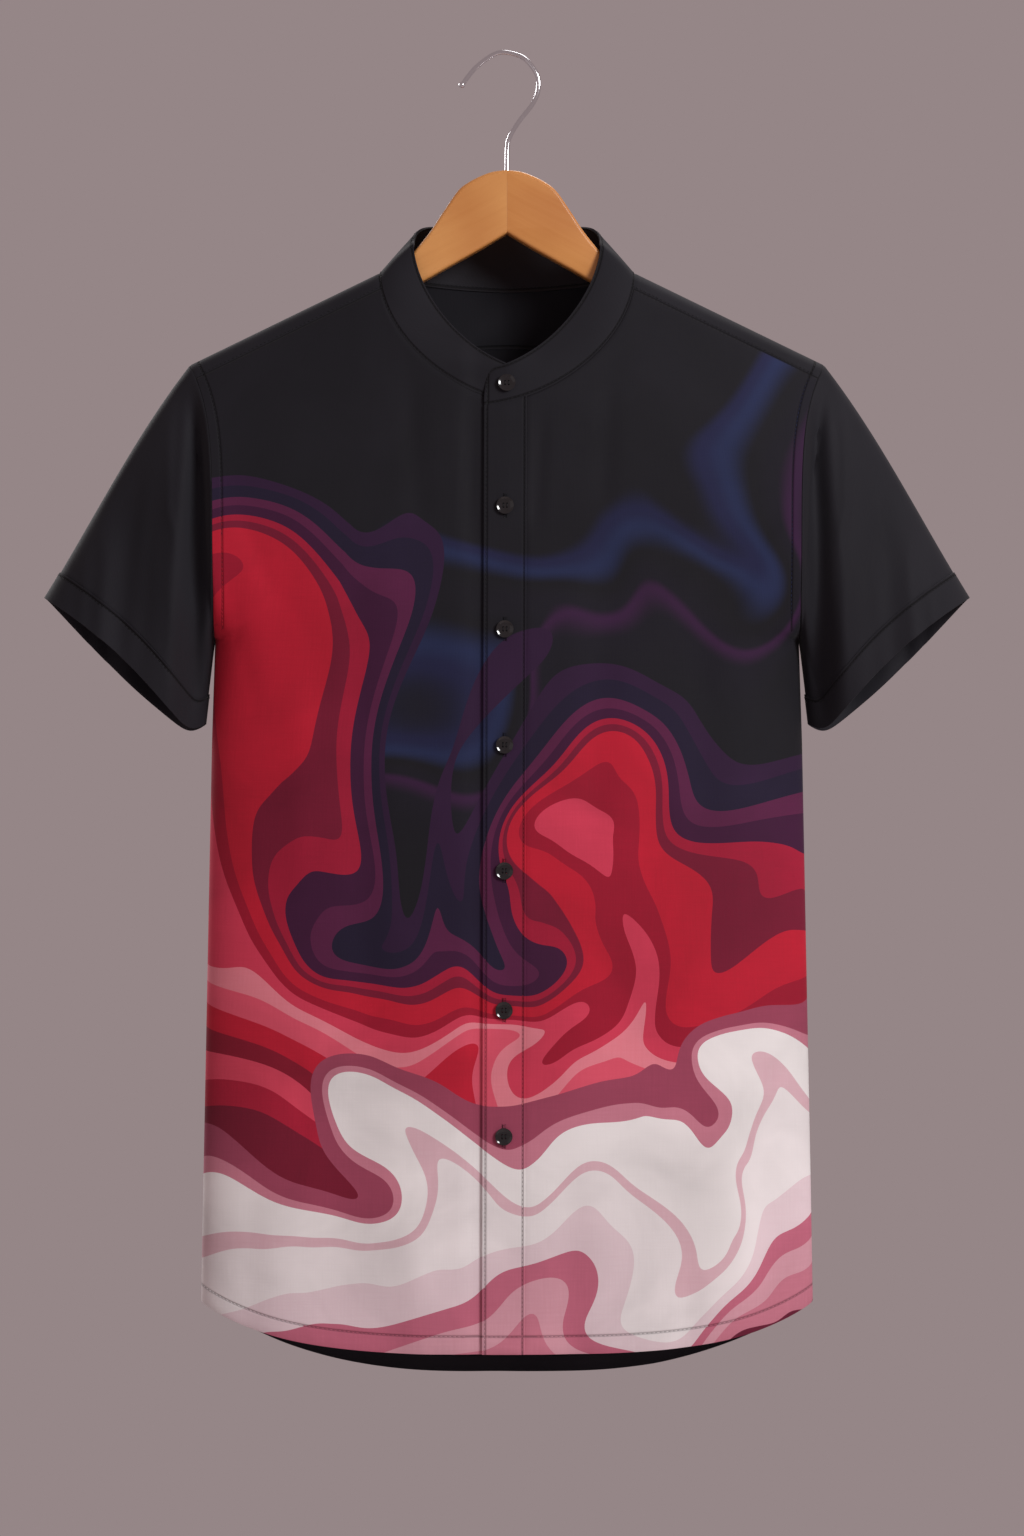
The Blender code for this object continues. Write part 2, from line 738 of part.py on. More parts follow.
def sleeve_angles() -> list[float]:
    """Angles round the armhole at which the panels' rows meet the sleeve."""
    front = [mix(FRONT_CORNER_ANGLE, 180.0, row / ARMHOLE_ROWS) for row in range(ARMHOLE_ROWS + 1)]
    back = [mix(BACK_CORNER_ANGLE, 180.0, row / ARMHOLE_ROWS) for row in range(ARMHOLE_ROWS)]
    over_front = [FRONT_CORNER_ANGLE * math.sqrt(share) for share in sorted(YOKE_FRONT_SHARES[1:])]
    over_back = [BACK_CORNER_ANGLE * math.sqrt(share)
                 for share in sorted(YOKE_BACK_SHARES[1:-1], reverse=True)]
    behind = [360.0 - angle for angle in reversed(back)] + [360.0 - angle for angle in over_back]
    return over_front + front + behind


def opening_point(angle: float) -> Vector:
    """Point of the sleeve's lower edge: 0 at its outer tip, 180 next to the body."""
    turned = math.radians(angle)
    tip = Vector((SLEEVE_TIP[0], 0.0, SLEEVE_TIP[1]))
    chord = Vector((SLEEVE_INNER[0], 0.0, SLEEVE_INNER[1])) - tip
    outward = Vector((-chord.z, 0.0, chord.x)).normalized()
    across = (1.0 - math.cos(turned)) / 2.0
    bow = SLEEVE_FRONT_BOW if angle <= 180.0 else SLEEVE_BACK_BOW
    fall = (SLEEVE_EDGE_FALL * across + bow * math.sin(turned) ** 2
            - SLEEVE_INNER_LIFT * math.exp(-((angle - 180.0) / SLEEVE_LIFT_ANGLE) ** 2))
    depth = -SLEEVE_HALF_DEPTH * math.sin(turned)
    return tip + chord * across + outward * fall + Vector((0.0, depth, 0.0))


def sleeve_point(angle: float, share: float) -> Vector:
    """Point of the sleeve's cloth, the given share of the way from the armhole to the edge."""
    top, edge = armhole_point(angle), opening_point(angle)
    place = top.lerp(edge, share)
    turned = math.radians(angle)
    swell = SLEEVE_BULGE * max(math.cos(turned), 0.0) * 4.0 * share * (1.0 - share) ** 2
    place += Vector(SLEEVE_BULGE_WAY) * swell
    crease = fold_depth(place.x, place.z, SLEEVE_FOLDS)
    crease *= smooth_step(0.0, SLEEVE_FOLD_FADE_SHARE, share)
    place.y += math.copysign(crease * min(abs(place.y) / SLEEVE_FOLD_FADE_Y, 1.0), -place.y)
    return place


def cuff_share(angle: float) -> float:
    """Share of the sleeve's length at which the cuff's seam runs."""
    length = (opening_point(angle) - armhole_point(angle)).length
    return 1.0 - CUFF_WIDTH / length


def tube_faces(rows: int, columns: int) -> list[tuple]:
    """Quads of a tube whose rings have the given number of points."""
    faces = []
    for row in range(rows - 1):
        for column in range(columns):
            after = (column + 1) % columns
            faces.append((row * columns + column, row * columns + after,
                          (row + 1) * columns + after, (row + 1) * columns + column))
    return faces


def build_sleeve(name: str, side: float, material):
    """One sleeve, from the armhole to the cuff's seam."""
    angles = sleeve_angles()
    points = []
    for row in range(SLEEVE_ROWS + 1):
        for angle in angles:
            length = (opening_point(angle) - armhole_point(angle)).length
            start = SEAM_GAP / length
            end = cuff_share(angle) - 0.5 * SEAM_GAP / length
            points.append(sleeve_point(angle, mix(start, end, row / SLEEVE_ROWS)))
    points = mirrored(points) if side < 0.0 else points
    faces = turned_outward(points, tube_faces(SLEEVE_ROWS + 1, len(angles)), centre_of(points))
    return wall_solid(name, points, faces, CLOTH_WALL, material)


def build_cuff(name: str, side: float, material):
    """The turned-up band at a sleeve's edge, a little proud of the sleeve."""
    angles = sleeve_angles()
    points = []
    for row in range(CUFF_ROWS + 1):
        for index, angle in enumerate(angles):
            length = (opening_point(angle) - armhole_point(angle)).length
            start = cuff_share(angle) + 0.5 * SEAM_GAP / length
            share = mix(start, 1.0, row / CUFF_ROWS)
            before = sleeve_point(angles[index - 1], share)
            after = sleeve_point(angles[(index + 1) % len(angles)], share)
            place = sleeve_point(angle, share)
            down = sleeve_point(angle, share + 0.01) - place
            outward = (after - before).cross(down).normalized()
            if outward.dot(place - sleeve_point(angle + 180.0 if angle < 180.0 else angle - 180.0,
                                                share)) < 0.0:
                outward.negate()
            points.append(place + outward * CUFF_PROUD)
    points = mirrored(points) if side < 0.0 else points
    faces = turned_outward(points, tube_faces(CUFF_ROWS + 1, len(angles)), centre_of(points))
    return wall_solid(name, points, faces, BAND_WALL, material)


def band_top(angle: float) -> Vector:
    """Top edge of the collar band on the side of +X."""
    turned = math.radians(angle)
    x = BAND_TOP_HALF_WIDTH * math.sin(turned)
    if angle <= 90.0:
        z = (BAND_TOP_Z - BAND_TOP_FALL * math.cos(turned) ** BAND_TOP_FALL_POWER
             - BAND_TOP_CROSSING * (1.0 - math.sin(turned)))
    else:
        short = (1.0 - abs(math.cos(turned))) ** BAND_TOP_BACK_POWER
        z = BAND_TOP_Z + BAND_TOP_BACK_RISE * (1.0 - short)
    if angle < 0.0:
        tab_top_x = BAND_TOP_HALF_WIDTH * math.sin(math.radians(TAB_ANGLE))
        x += (TAB_END_X - tab_top_x) * smooth_step(0.0, TAB_ANGLE, angle)
    if angle <= 90.0:
        away = math.hypot(math.sin(turned), BAND_POINT_ROUNDING)
        depth = (BAND_SIDE_DEPTH * math.cos(turned) ** BAND_SIDE_FULLNESS
                 + BAND_POINT_DEPTH * max(1.0 - away, 0.0))
    else:
        depth = -BAND_TOP_DEPTH * abs(math.cos(turned)) ** BAND_TOP_FULLNESS
    return Vector((x, -depth, z))


def band_foot(angle: float) -> Vector:
    """Lower edge of the collar band, on the seam, on the side of +X."""
    x, z = neck_seam_xz(angle)
    return body_point(x, z, FRONT if angle <= 90.0 else BACK)


def tab_height(x: float) -> float:
    """Share of the band's height left at the tab's rounded top corner."""
    run = (TAB_END_X + TAB_CORNER - x) / TAB_CORNER
    if run <= 0.0:
        return 1.0
    return mix(TAB_STRAIGHT_SHARE, 1.0, math.sqrt(max(1.0 - min(run, 1.0) ** 2, 0.0)))


def collar_point(angle: float, rise: float) -> Vector:
    """Point of the collar band: angle from the tab round the neck to the end under it."""
    over = angle <= 180.0
    turn = angle if over else 360.0 - angle
    foot, top = band_foot(turn), band_top(turn)
    foot = foot.lerp(top, SEAM_GAP / (top - foot).length)
    if over and turn < 0.0:
        top = foot.lerp(top, tab_height(top.x))
    place = foot.lerp(top, rise)
    outward = Vector((place.x, place.y * 2.0, 0.0)).normalized()
    place += outward * BAND_BULGE * math.sin(math.pi * rise)
    if not over:
        place.x = -place.x
        if turn < 90.0:
            place.y += lap_dip(place.x)
    return place


def build_collar(material):
    """The stand-up band: one strip round the neck whose left end laps over the right one."""
    angles = [TAB_ANGLE * (1.0 - step / TAB_COLUMNS) for step in range(TAB_COLUMNS)]
    angles += [UNDER_END_ANGLE * step / COLLAR_COLUMNS for step in range(COLLAR_COLUMNS + 1)]
    points = []
    for row in range(COLLAR_ROWS + 1):
        for angle in angles:
            points.append(collar_point(angle, row / COLLAR_ROWS))
    faces = turned_outward(points, grid_faces(COLLAR_ROWS + 1, len(angles)), centre_of(points))
    return wall_solid("collar", points, faces, COLLAR_WALL, material)


def build_button(name: str, z: float, material):
    """A dished button with a raised rim, flat against the placket or the collar tab."""
    mesh_data = bmesh.new()
    rings = []
    for radius, height in BUTTON_PROFILE:
        ring = []
        for step in range(BUTTON_SIDES):
            turned = 2.0 * math.pi * step / BUTTON_SIDES
            ring.append(mesh_data.verts.new((radius * math.cos(turned),
                                             radius * math.sin(turned), height)))
        rings.append(ring)
    for lower, upper in zip(rings, rings[1:]):
        for step in range(BUTTON_SIDES):
            after = (step + 1) % BUTTON_SIDES
            mesh_data.faces.new((lower[step], lower[after], upper[after], upper[step]))
    mesh_data.faces.new(list(reversed(rings[0])))
    mesh_data.faces.new(rings[-1])
    x = placket_x(z)
    if z > neck_seam_z(0.0):
        rise = (z - neck_seam_z(0.0)) / (band_top(0.0).z - neck_seam_z(0.0))
        seat = collar_point(0.0, rise)
        upper, lower = collar_point(0.0, rise + 0.1), collar_point(0.0, rise - 0.1)
        lift = BUTTON_GAP
    else:
        seat = body_point(x, z, FRONT)
        upper = body_point(x, z + BUTTON_TILT_REACH, FRONT)
        lower = body_point(x, z - BUTTON_TILT_REACH, FRONT)
        lift = PLACKET_PROUD + BUTTON_GAP
    rising = (upper - lower).normalized()
    outward = Vector((1.0, 0.0, 0.0)).cross(rising).normalized()
    turn = Matrix((Vector((1.0, 0.0, 0.0)), rising, outward)).transposed().to_4x4()
    placed = Matrix.Translation(seat + outward * lift) @ turn
    bmesh.ops.transform(mesh_data, matrix=placed, verts=mesh_data.verts)
    bmesh.ops.recalc_face_normals(mesh_data, faces=mesh_data.faces)
    return add_object(name, mesh_data, material)


def build_hanger_bar(material):
    """The flat wooden bar: rounded sections from one arm's end to the other."""
    stations = [(-x, *rest) for x, *rest in reversed(BAR_SECTIONS[1:])] + list(BAR_SECTIONS)
    mesh_data = bmesh.new()
    rings = []
    for x, top, bottom, half_thickness in stations:
        middle, half_height = (top + bottom) / 2.0, (top - bottom) / 2.0
        ring = []
        for step in range(BAR_RING):
            turned = 2.0 * math.pi * (step + 0.5) / BAR_RING
            across, up = math.cos(turned), math.sin(turned)
            ring.append(mesh_data.verts.new((
                x, math.copysign(abs(across) ** BAR_ACROSS_POWER, across) * half_thickness,
                middle + math.copysign(abs(up) ** BAR_UP_POWER, up) * half_height)))
        rings.append(ring)
    for left, right in zip(rings, rings[1:]):
        for step in range(BAR_RING):
            after = (step + 1) % BAR_RING
            mesh_data.faces.new((left[step], left[after], right[after], right[step]))
    mesh_data.faces.new(rings[0])
    mesh_data.faces.new(list(reversed(rings[-1])))
    bmesh.ops.recalc_face_normals(mesh_data, faces=mesh_data.faces)
    return add_object("hanger_bar", mesh_data, material)


def smooth_route(points, steps: int) -> list[Vector]:
    """Catmull-Rom curve through the route's points, in the plane of the hanger."""
    knots = [Vector((x, 0.0, z)) for x, z in points]
    knots = [knots[0] * 2.0 - knots[1]] + knots + [knots[-1] * 2.0 - knots[-2]]
    route = []
    for index in range(1, len(knots) - 2):
        before, start, end, after = knots[index - 1:index + 3]
        for step in range(steps):
            t = step / steps
            route.append(0.5 * ((2.0 * start) + (end - before) * t
                                + (2.0 * before - 5.0 * start + 4.0 * end - after) * t ** 2
                                + (3.0 * start - before - 3.0 * end + after) * t ** 3))
    route.append(knots[-2])
    return route


def build_hook(material):
    """The steel hook: bent wire with a small ball at its free end."""
    route = smooth_route(HOOK_POINTS, HOOK_STEPS)
    start = (route[1] - route[0]).normalized()
    radii = [WIRE_RADIUS] * len(route)
    ball = []
    for step in range(HOOK_TIP_RINGS):
        turned = math.pi * (step + 0.6) / (HOOK_TIP_RINGS + 1.2)
        ball.append((route[0] - start * HOOK_TIP_RADIUS * math.cos(turned),
                     HOOK_TIP_RADIUS * math.sin(turned)))
    route = [place for place, _ in ball] + route[1:]
    radii = [radius for _, radius in ball] + radii[1:]
    mesh_data = bmesh.new()
    rings = []
    for index, place in enumerate(route):
        before, after = route[max(index - 1, 0)], route[min(index + 1, len(route) - 1)]
        run = (after - before).normalized()
        side = run.cross(Vector((0.0, 1.0, 0.0))).normalized()
        ring = []
        for step in range(WIRE_SIDES):
            turned = 2.0 * math.pi * step / WIRE_SIDES
            offset = side * math.cos(turned) + Vector((0.0, 1.0, 0.0)) * math.sin(turned)
            ring.append(mesh_data.verts.new(place + offset * radii[index]))
        rings.append(ring)
    for left, right in zip(rings, rings[1:]):
        for step in range(WIRE_SIDES):
            after = (step + 1) % WIRE_SIDES
            mesh_data.faces.new((left[step], left[after], right[after], right[step]))
    mesh_data.faces.new(rings[0])
    mesh_data.faces.new(list(reversed(rings[-1])))
    bmesh.ops.recalc_face_normals(mesh_data, faces=mesh_data.faces)
    return add_object("hanger_hook", mesh_data, material)


def clear_scene():
    """Remove every object that the file opened with."""
    for thing in list(bpy.data.objects):
        bpy.data.objects.remove(thing, do_unlink=True)


def main():
    """Build every piece of the shirt and its hanger."""
    clear_scene()
    build_yoke(make_material("yoke", BLACK, CLOTH_ROUGHNESS))
    build_back(make_material("back", BLACK, CLOTH_ROUGHNESS))
    build_placket(make_material("placket", PRINT_RED, CLOTH_ROUGHNESS))
    build_collar(make_material("collar", BLACK, CLOTH_ROUGHNESS))
    for side_name, side in (("left", 1.0), ("right", -1.0)):
        front, sleeve, cuff = (f"{piece}_{side_name}" for piece in ("front", "sleeve", "cuff"))
        build_front(front, side, make_material(front, PRINT_RED, CLOTH_ROUGHNESS))
        build_sleeve(sleeve, side, make_material(sleeve, BLACK, CLOTH_ROUGHNESS))
        build_cuff(cuff, side, make_material(cuff, BLACK, CLOTH_ROUGHNESS))
    for number, height in enumerate(BUTTON_HEIGHTS, start=1):
        name = f"button_{number}"
        build_button(name, height, make_material(name, RESIN_BLACK, RESIN_ROUGHNESS))
    build_hanger_bar(make_material("hanger_bar", WOOD_BROWN, LACQUER_ROUGHNESS))
    build_hook(make_material("hanger_hook", STEEL_GREY, STEEL_ROUGHNESS, metallic=1.0))


main()
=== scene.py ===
"""Dresses the mandarin collar shirt and its wooden hanger.

The cloth pieces are thin walls over the same hanging form as the solids, with finer creases,
seams and topstitching. Sizes in the classes are millimetres, and finished meshes are metres.
"""

from __future__ import annotations

import logging
import math
from dataclasses import dataclass
from enum import Enum
from typing import Callable, Sequence

import bmesh
import bpy
from mathutils import Matrix, Vector, noise

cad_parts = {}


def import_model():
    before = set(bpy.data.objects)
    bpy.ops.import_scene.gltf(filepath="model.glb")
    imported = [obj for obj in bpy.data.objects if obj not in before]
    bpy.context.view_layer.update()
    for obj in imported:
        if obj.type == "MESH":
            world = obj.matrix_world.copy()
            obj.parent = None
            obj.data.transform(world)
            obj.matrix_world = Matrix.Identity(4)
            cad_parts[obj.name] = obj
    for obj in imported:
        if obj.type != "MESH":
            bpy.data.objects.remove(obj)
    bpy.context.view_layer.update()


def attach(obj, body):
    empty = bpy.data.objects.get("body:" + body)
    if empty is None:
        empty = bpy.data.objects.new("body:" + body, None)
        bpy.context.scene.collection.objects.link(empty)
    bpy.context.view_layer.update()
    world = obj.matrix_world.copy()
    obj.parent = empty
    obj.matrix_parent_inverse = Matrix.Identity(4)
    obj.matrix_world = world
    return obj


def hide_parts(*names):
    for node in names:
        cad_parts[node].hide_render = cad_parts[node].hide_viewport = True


LOG = logging.getLogger("shirt")
# Metres in a millimetre
MM = 0.001
BODY = "root"


class Slot(Enum):
    """Material slots of the part's record."""

    PLAIN_CLOTH = "plain_cloth"
    PRINTED_CLOTH = "printed_cloth"
    BUTTON_RESIN = "button_resin"
    HANGER_WOOD = "hanger_wood"
    HOOK_STEEL = "hook_steel"


def mix(start: float, end: float, share: float) -> float:
    """Value that lies the given share of the way from start to end."""
    return start + (end - start) * share


def even_values(start: float, end: float, spans: int) -> list[float]:
    """Evenly spaced values from start to end, both of them included."""
    return [mix(start, end, step / spans) for step in range(spans + 1)]


def smooth_step(low: float, high: float, value: float) -> float:
    """Soft 0 to 1 ramp of value between low and high."""
    share = min(max((value - low) / (high - low), 0.0), 1.0)
    return share * share * (3.0 - 2.0 * share)


def solve(function: Callable[[float], float], low: float, high: float) -> float:
    """Find the root of a falling function by halving.

    Args:
        function: Falls from above zero at low to below zero at high.
        low: Start of the search.
        high: End of the search.

    Returns:
        The value at which the function is zero.
    """
    for _ in range(40):
        middle = (low + high) / 2.0
        if function(middle) > 0.0:
            low = middle
        else:
            high = middle
    return (low + high) / 2.0


def table_value(rows: Sequence[tuple], key: float, column: int) -> float:
    """Read one column of a table by its first column, with straight runs between rows.

    Args:
        rows: Rows in rising order of their first column.
        key: Value of the first column to read at.
        column: Index of the column to read.

    Returns:
        The value between the two nearest rows, or that of the nearest end.
    """
    if key <= rows[0][0]:
        return rows[0][column]
    for lower, upper in zip(rows, rows[1:]):
        if key <= upper[0]:
            return mix(lower[column], upper[column], (key - lower[0]) / (upper[0] - lower[0]))
    return rows[-1][column]


def edged_shares(count: int, near: float) -> list[float]:
    """Even shares from 0 to 1 with one more close to each end, where cloth rolls over.

    Args:
        count: Number of even steps.
        near: Distance of the extra shares from the ends.

    Returns:
        The shares in rising order.
    """
    inner = [step / count for step in range(1, count)]
    return [0.0, near, *[share for share in inner if near * 1.5 < share < 1.0 - near * 1.5],
            1.0 - near, 1.0]


# ---------- The hanging form ----------


# A crease reaches this many widths to each side, and fades over these shares of its run
CREASE_REACH = 3.0
CREASE_FADED_IN = 0.35
CREASE_FADING_OUT = 0.8


@dataclass(frozen=True)
class Crease:
    """A soft trough in the cloth from one point to another; below zero deep it is a ridge."""

    top_x: float
    top_z: float
    bottom_x: float
    bottom_z: float
    width: float
    depth: float

    def depth_at(self, x: float, z: float) -> float:
        """How far the cloth is pressed in at a point."""
        along = (z - self.top_z) / (self.bottom_z - self.top_z)
        if not 0.0 < along < 1.0:
            return 0.0
        offset = (x - mix(self.top_x, self.bottom_x, along)) / self.width
        if abs(offset) > CREASE_REACH:
            return 0.0
        fade = (smooth_step(0.0, CREASE_FADED_IN, along)
                * smooth_step(1.0, CREASE_FADING_OUT, along))
        return self.depth * fade * math.exp(-offset * offset)


@dataclass(frozen=True)
class HangingSide:
    """The front or the back of the shirt as it hangs below the shoulder ridge."""

    sign: float
    fullness: float
    reach: float
    creases: tuple[Crease, ...]
    # Height and spans of the cloth's slight unevenness, and its plane in the noise
    unevenness: float = 0.5
    uneven_width: float = 46.0
    uneven_height: float = 70.0
    noise_plane: float = 7.0

    def crease_depth(self, x: float, z: float) -> float:
        """Sum of the creases and of the cloth's slight unevenness at a point."""
        total = sum(crease.depth_at(x, z) for crease in self.creases)
        return total + self.unevenness * noise.noise(Vector((
            x / self.uneven_width, self.sign * self.noise_plane, z / self.uneven_height)))


FRONT = HangingSide(
    sign=-1.0,
    fullness=45.0,
    reach=74.0,
    creases=(
        # The main folds, as in the solids
        Crease(-178, -275, -120, -470, 24, 3.2),
        Crease(176, -270, 112, -455, 22, 2.8),
        Crease(-70, -300, -52, -640, 30, 2.4),
        Crease(84, -520, 92, -930, 36, 3.6),
        Crease(-104, -560, -118, -940, 34, 3.4),
        Crease(150, -640, 166, -940, 20, -2.4),
        # Long soft drags down the chest
        Crease(-101, -285, -94, -690, 15, 2.3),
        Crease(-137, -330, -141, -610, 12, -1.3),
        Crease(66, -300, 58, -560, 14, 1.5),
        Crease(128, -350, 137, -640, 13, 1.2),
        # Short pulls from the armholes, the collar and the tab
        Crease(-189, -292, -150, -382, 7, 1.4),
        Crease(-192, -340, -168, -452, 6, 1.1),
        Crease(188, -300, 146, -392, 7, 1.3),
        Crease(191, -352, 171, -440, 6, 1),
        Crease(-66, -208, -58, -330, 8, 1.1),
        Crease(70, -206, 64, -318, 8, 1),
        Crease(24, -236, 19, -330, 4.5, 1.3),
        Crease(-25.5, -222, -24, -345, 4, 1.7),
        # Ripples above the hem
        Crease(-171, -740, -176, -905, 11, 1.6),
        Crease(-62, -770, -55, -925, 13, -1.5),
        Crease(41, -720, 46, -925, 13, 1.6),
        Crease(124, -780, 121, -915, 10, 1.4),
    ),
)
BACK = HangingSide(
    sign=1.0,
    fullness=48.0,
    reach=40.0,
    creases=(
        # The main folds, as in the solids
        Crease(-166, -285, -104, -500, 26, 4),
        Crease(172, -280, 118, -520, 24, 3.4),
        Crease(-40, -330, -58, -950, 34, 4.6),
        Crease(62, -420, 70, -950, 30, 3.8),
        Crease(136, -600, 146, -950, 24, -2.6),
        # Drags from the shoulder blades
        Crease(-98, -262, -84, -560, 13, 1.9),
        Crease(-6, -255, 4, -610, 16, 1.7),
        Crease(104, -270, 97, -480, 12, 1.6),
        Crease(31, -300, 36, -700, 11, -1.4),
        # Pulls at the armholes
        Crease(-189, -305, -146, -404, 7, 1.5),
        Crease(190, -296, 152, -388, 7, 1.3),
        Crease(191, -348, 168, -455, 6, 1.1),
        # Ripples above the hem
        Crease(-148, -730, -156, -925, 14, 1.8),
        Crease(-12, -760, -8, -945, 15, -1.7),
        Crease(104, -770, 99, -945, 12, 1.5),
    ),
)
# On the sleeves, x counts out from the centre line on either side
SLEEVE_CREASES = (
    # The main folds, as in the solids
    Crease(201.5, -140, 214, -475, 9, 13),
    Crease(246, -250, 262, -480, 18, -6),
    Crease(272, -300, 282, -470, 12, 2.4),
    # Smaller ones between them
    Crease(221, -215, 226, -330, 4, 1.8),
    Crease(240, -268, 256, -440, 5.5, 1.3),
    Crease(288, -330, 293, -430, 6, -1.2),
)


@dataclass(frozen=True)
class ShirtForm:
    """Where the cloth hangs: the same surfaces as the solids, over which the pieces are cut."""

    neck_half_width: float = 86.7
    neck_point_z: float = -148.5
    shoulder_slope: float = 0.486
    shoulder_tip_x: float = 215.5
    ridge_radius: float = 7.0
    yoke_front_drop: float = 12.5
    yoke_back_z: float = -195.0
    yoke_back_fall: float = 52.0
    yoke_back_power: float = 1.7
    underarm_z: float = -397.0
    armhole_flare: float = 18.0
    flare_power: int = 6
    side_fade_z: float = -455.0
    seam_hold_power: int = 12
    column_flare_power: int = 10
    # Creases grow to their full depth over this drop below the shoulder ridge
    crease_start: float = 30.0
    side_sections: tuple = (
        # z, half_width
        (-860.0, 208.2),
        (-765.0, 206.5),
        (-466.0, 200.6),
        (-370.0, 197.5),
        (-300.0, 197.5),
    )
    hem_half_width: float = 208.0
    front_hem: tuple = (-878.2, 31.2, 3.8)
    back_hem: tuple = (-901.0, 54.0, 2.95)
    section_power: float = 2.2
    hem_taper: float = 0.22
    taper_top_z: float = -330.0
    taper_bottom_z: float = -880.0
    collar_front_fall: float = 70.9
    collar_crossing: float = 20.0
    collar_back_fall: float = 7.3
    collar_back_power: float = 1.5
    lap_depth: float = 2.1
    lap_start_x: float = -32.0
    lap_full_x: float = -17.6
    placket_top_x: float = -1.0
    placket_drift: float = -1.4
    placket_half_width: float = 14.35
    # Sewn pieces overlap a little, so that no light comes through
    seam_gap: float = -0.2

    @property
    def armhole_top_z(self) -> float:
        """Height of the shoulder tip."""
        return self.ridge_z(self.shoulder_tip_x)

    @property
    def armhole_mid_z(self) -> float:
        """Height of the armhole's middle."""
        return (self.armhole_top_z + self.underarm_z) / 2.0

    @property
    def armhole_half_height(self) -> float:
        """Half the height of the armhole."""
        return (self.armhole_top_z - self.underarm_z) / 2.0

    def ridge_z(self, x: float) -> float:
        """Height of the shoulder ridge."""
        return self.neck_point_z - self.shoulder_slope * (abs(x) - self.neck_half_width)

    def armhole_cosine(self, z: float) -> float:
        """1 at the shoulder tip, -1 at the underarm."""
        return min(max((z - self.armhole_mid_z) / self.armhole_half_height, -1.0), 1.0)

    def side_flare(self, z: float) -> float:
        """How far the armhole seam stands out from the body's side."""
        return self.armhole_flare * ((1.0 + self.armhole_cosine(z)) / 2.0) ** self.flare_power

    def side_x(self, z: float) -> float:
        """Half width of the body, without the armhole's flare."""
        return table_value(self.side_sections, z, 1)

    def edge_x(self, z: float) -> float:
        """Half width of the body with the armhole's flare."""
        return self.side_x(z) + self.side_flare(z)

    def edge_share(self, spread: float, z: float) -> float:
        """Share of the depth left towards the side: all at the armhole, none at the side seam."""
        cosine = self.armhole_cosine(z)
        seam = 1.0 if cosine >= 0.0 else math.sqrt(max(1.0 - cosine * cosine, 0.0))
        inside = smooth_step(self.side_fade_z, self.armhole_mid_z, z)
        return mix(inside, seam, spread ** self.seam_hold_power)

    def body_point(self, x: float, z: float, side: HangingSide, dip: float = 0.0) -> Vector:
        """Place a point of the body's cloth.

        Args:
            x: Place across the shirt.
            z: Height.
            side: Front or back.
            dip: How far the point lies below the surface, towards the body.

        Returns:
            The point in millimetres.
        """
        drop = max(self.ridge_z(x) - z, 0.0)
        spread = min(abs(x) / self.edge_x(z), 1.0)
        section = math.sqrt(max(1.0 - spread ** self.section_power, 0.0))
        share = self.edge_share(spread, z)
        turned = 1.0 - min(drop / self.ridge_radius, 1.0)
        tent = (self.ridge_radius * math.sqrt(1.0 - turned * turned)
                + side.fullness * (1.0 - math.exp(-drop / side.reach)))
        taper = 1.0 - self.hem_taper * smooth_step(self.taper_top_z, self.taper_bottom_z, z)
        depth = tent * taper * (share + (1.0 - share) * section)
        settled = smooth_step(0.0, self.crease_start, drop)
        depth -= side.crease_depth(x, z) * section * settled + dip
        return Vector((x, side.sign * depth, z))

    def body_normal(self, x: float, z: float, side: HangingSide) -> Vector:
        """Direction out of the body's cloth at a point."""
        across = self.body_point(x + 1.0, z, side) - self.body_point(x - 1.0, z, side)
        up = self.body_point(x, z + 1.0, side) - self.body_point(x, z - 1.0, side)
        out = across.cross(up).normalized()
        return out if out.y * side.sign > 0.0 else -out

    def stitch_point(self, x: float, z: float, side: HangingSide, dip: float = 0.0
                     ) -> tuple[Vector, Vector]:
        """Point of a stitched line and the cloth's normal there."""
        return self.body_point(x, z, side, dip), self.body_normal(x, z, side)

    def lap_dip(self, x: float) -> float:
        """How far the right front and the collar's under end lie below the lapping edge."""
        return self.lap_depth * smooth_step(self.lap_start_x, self.lap_full_x, x)

    def neck_seam_z(self, angle: float) -> float:
        """Height of the collar seam: 0 at centre front, 90 at the shoulder, 180 behind."""
        turned = math.radians(angle)
        if angle <= 90.0:
            return (self.neck_point_z - self.collar_front_fall * math.cos(turned)
                    - self.collar_crossing * (1.0 - math.sin(turned)))
        behind = abs(math.cos(turned)) ** self.collar_back_power
        return self.neck_point_z - self.collar_back_fall * behind

    def neck_seam_x(self, angle: float) -> float:
        """X of the collar seam on the side of +X."""
        return self.neck_half_width * math.sin(math.radians(angle))

    def neck_seam_angle(self, x: float) -> float:
        """Angle of the collar seam in front at the given X."""
        return math.degrees(math.asin(x / self.neck_half_width))

    def neck_seam_drop(self, angle: float) -> float:
        """Drop of the collar seam below the ridge."""
        return self.ridge_z(self.neck_seam_x(angle)) - self.neck_seam_z(angle)

    def yoke_front_line(self, x: float) -> float:
        """Height of the seam between the yoke and a front."""
        return self.ridge_z(x) - self.yoke_front_drop

    def yoke_back_line(self, x: float) -> float:
        """Height of the seam between the yoke and the back."""
        out = abs(x) / self.shoulder_tip_x
        return self.yoke_back_z - self.yoke_back_fall * out ** self.yoke_back_power

    def hem_line(self, x: float, hem: tuple) -> float:
        """Height of a curved hem, given its lowest height, its rise and its power."""
        return hem[0] + hem[1] * min(abs(x) / self.hem_half_width, 1.0) ** hem[2]

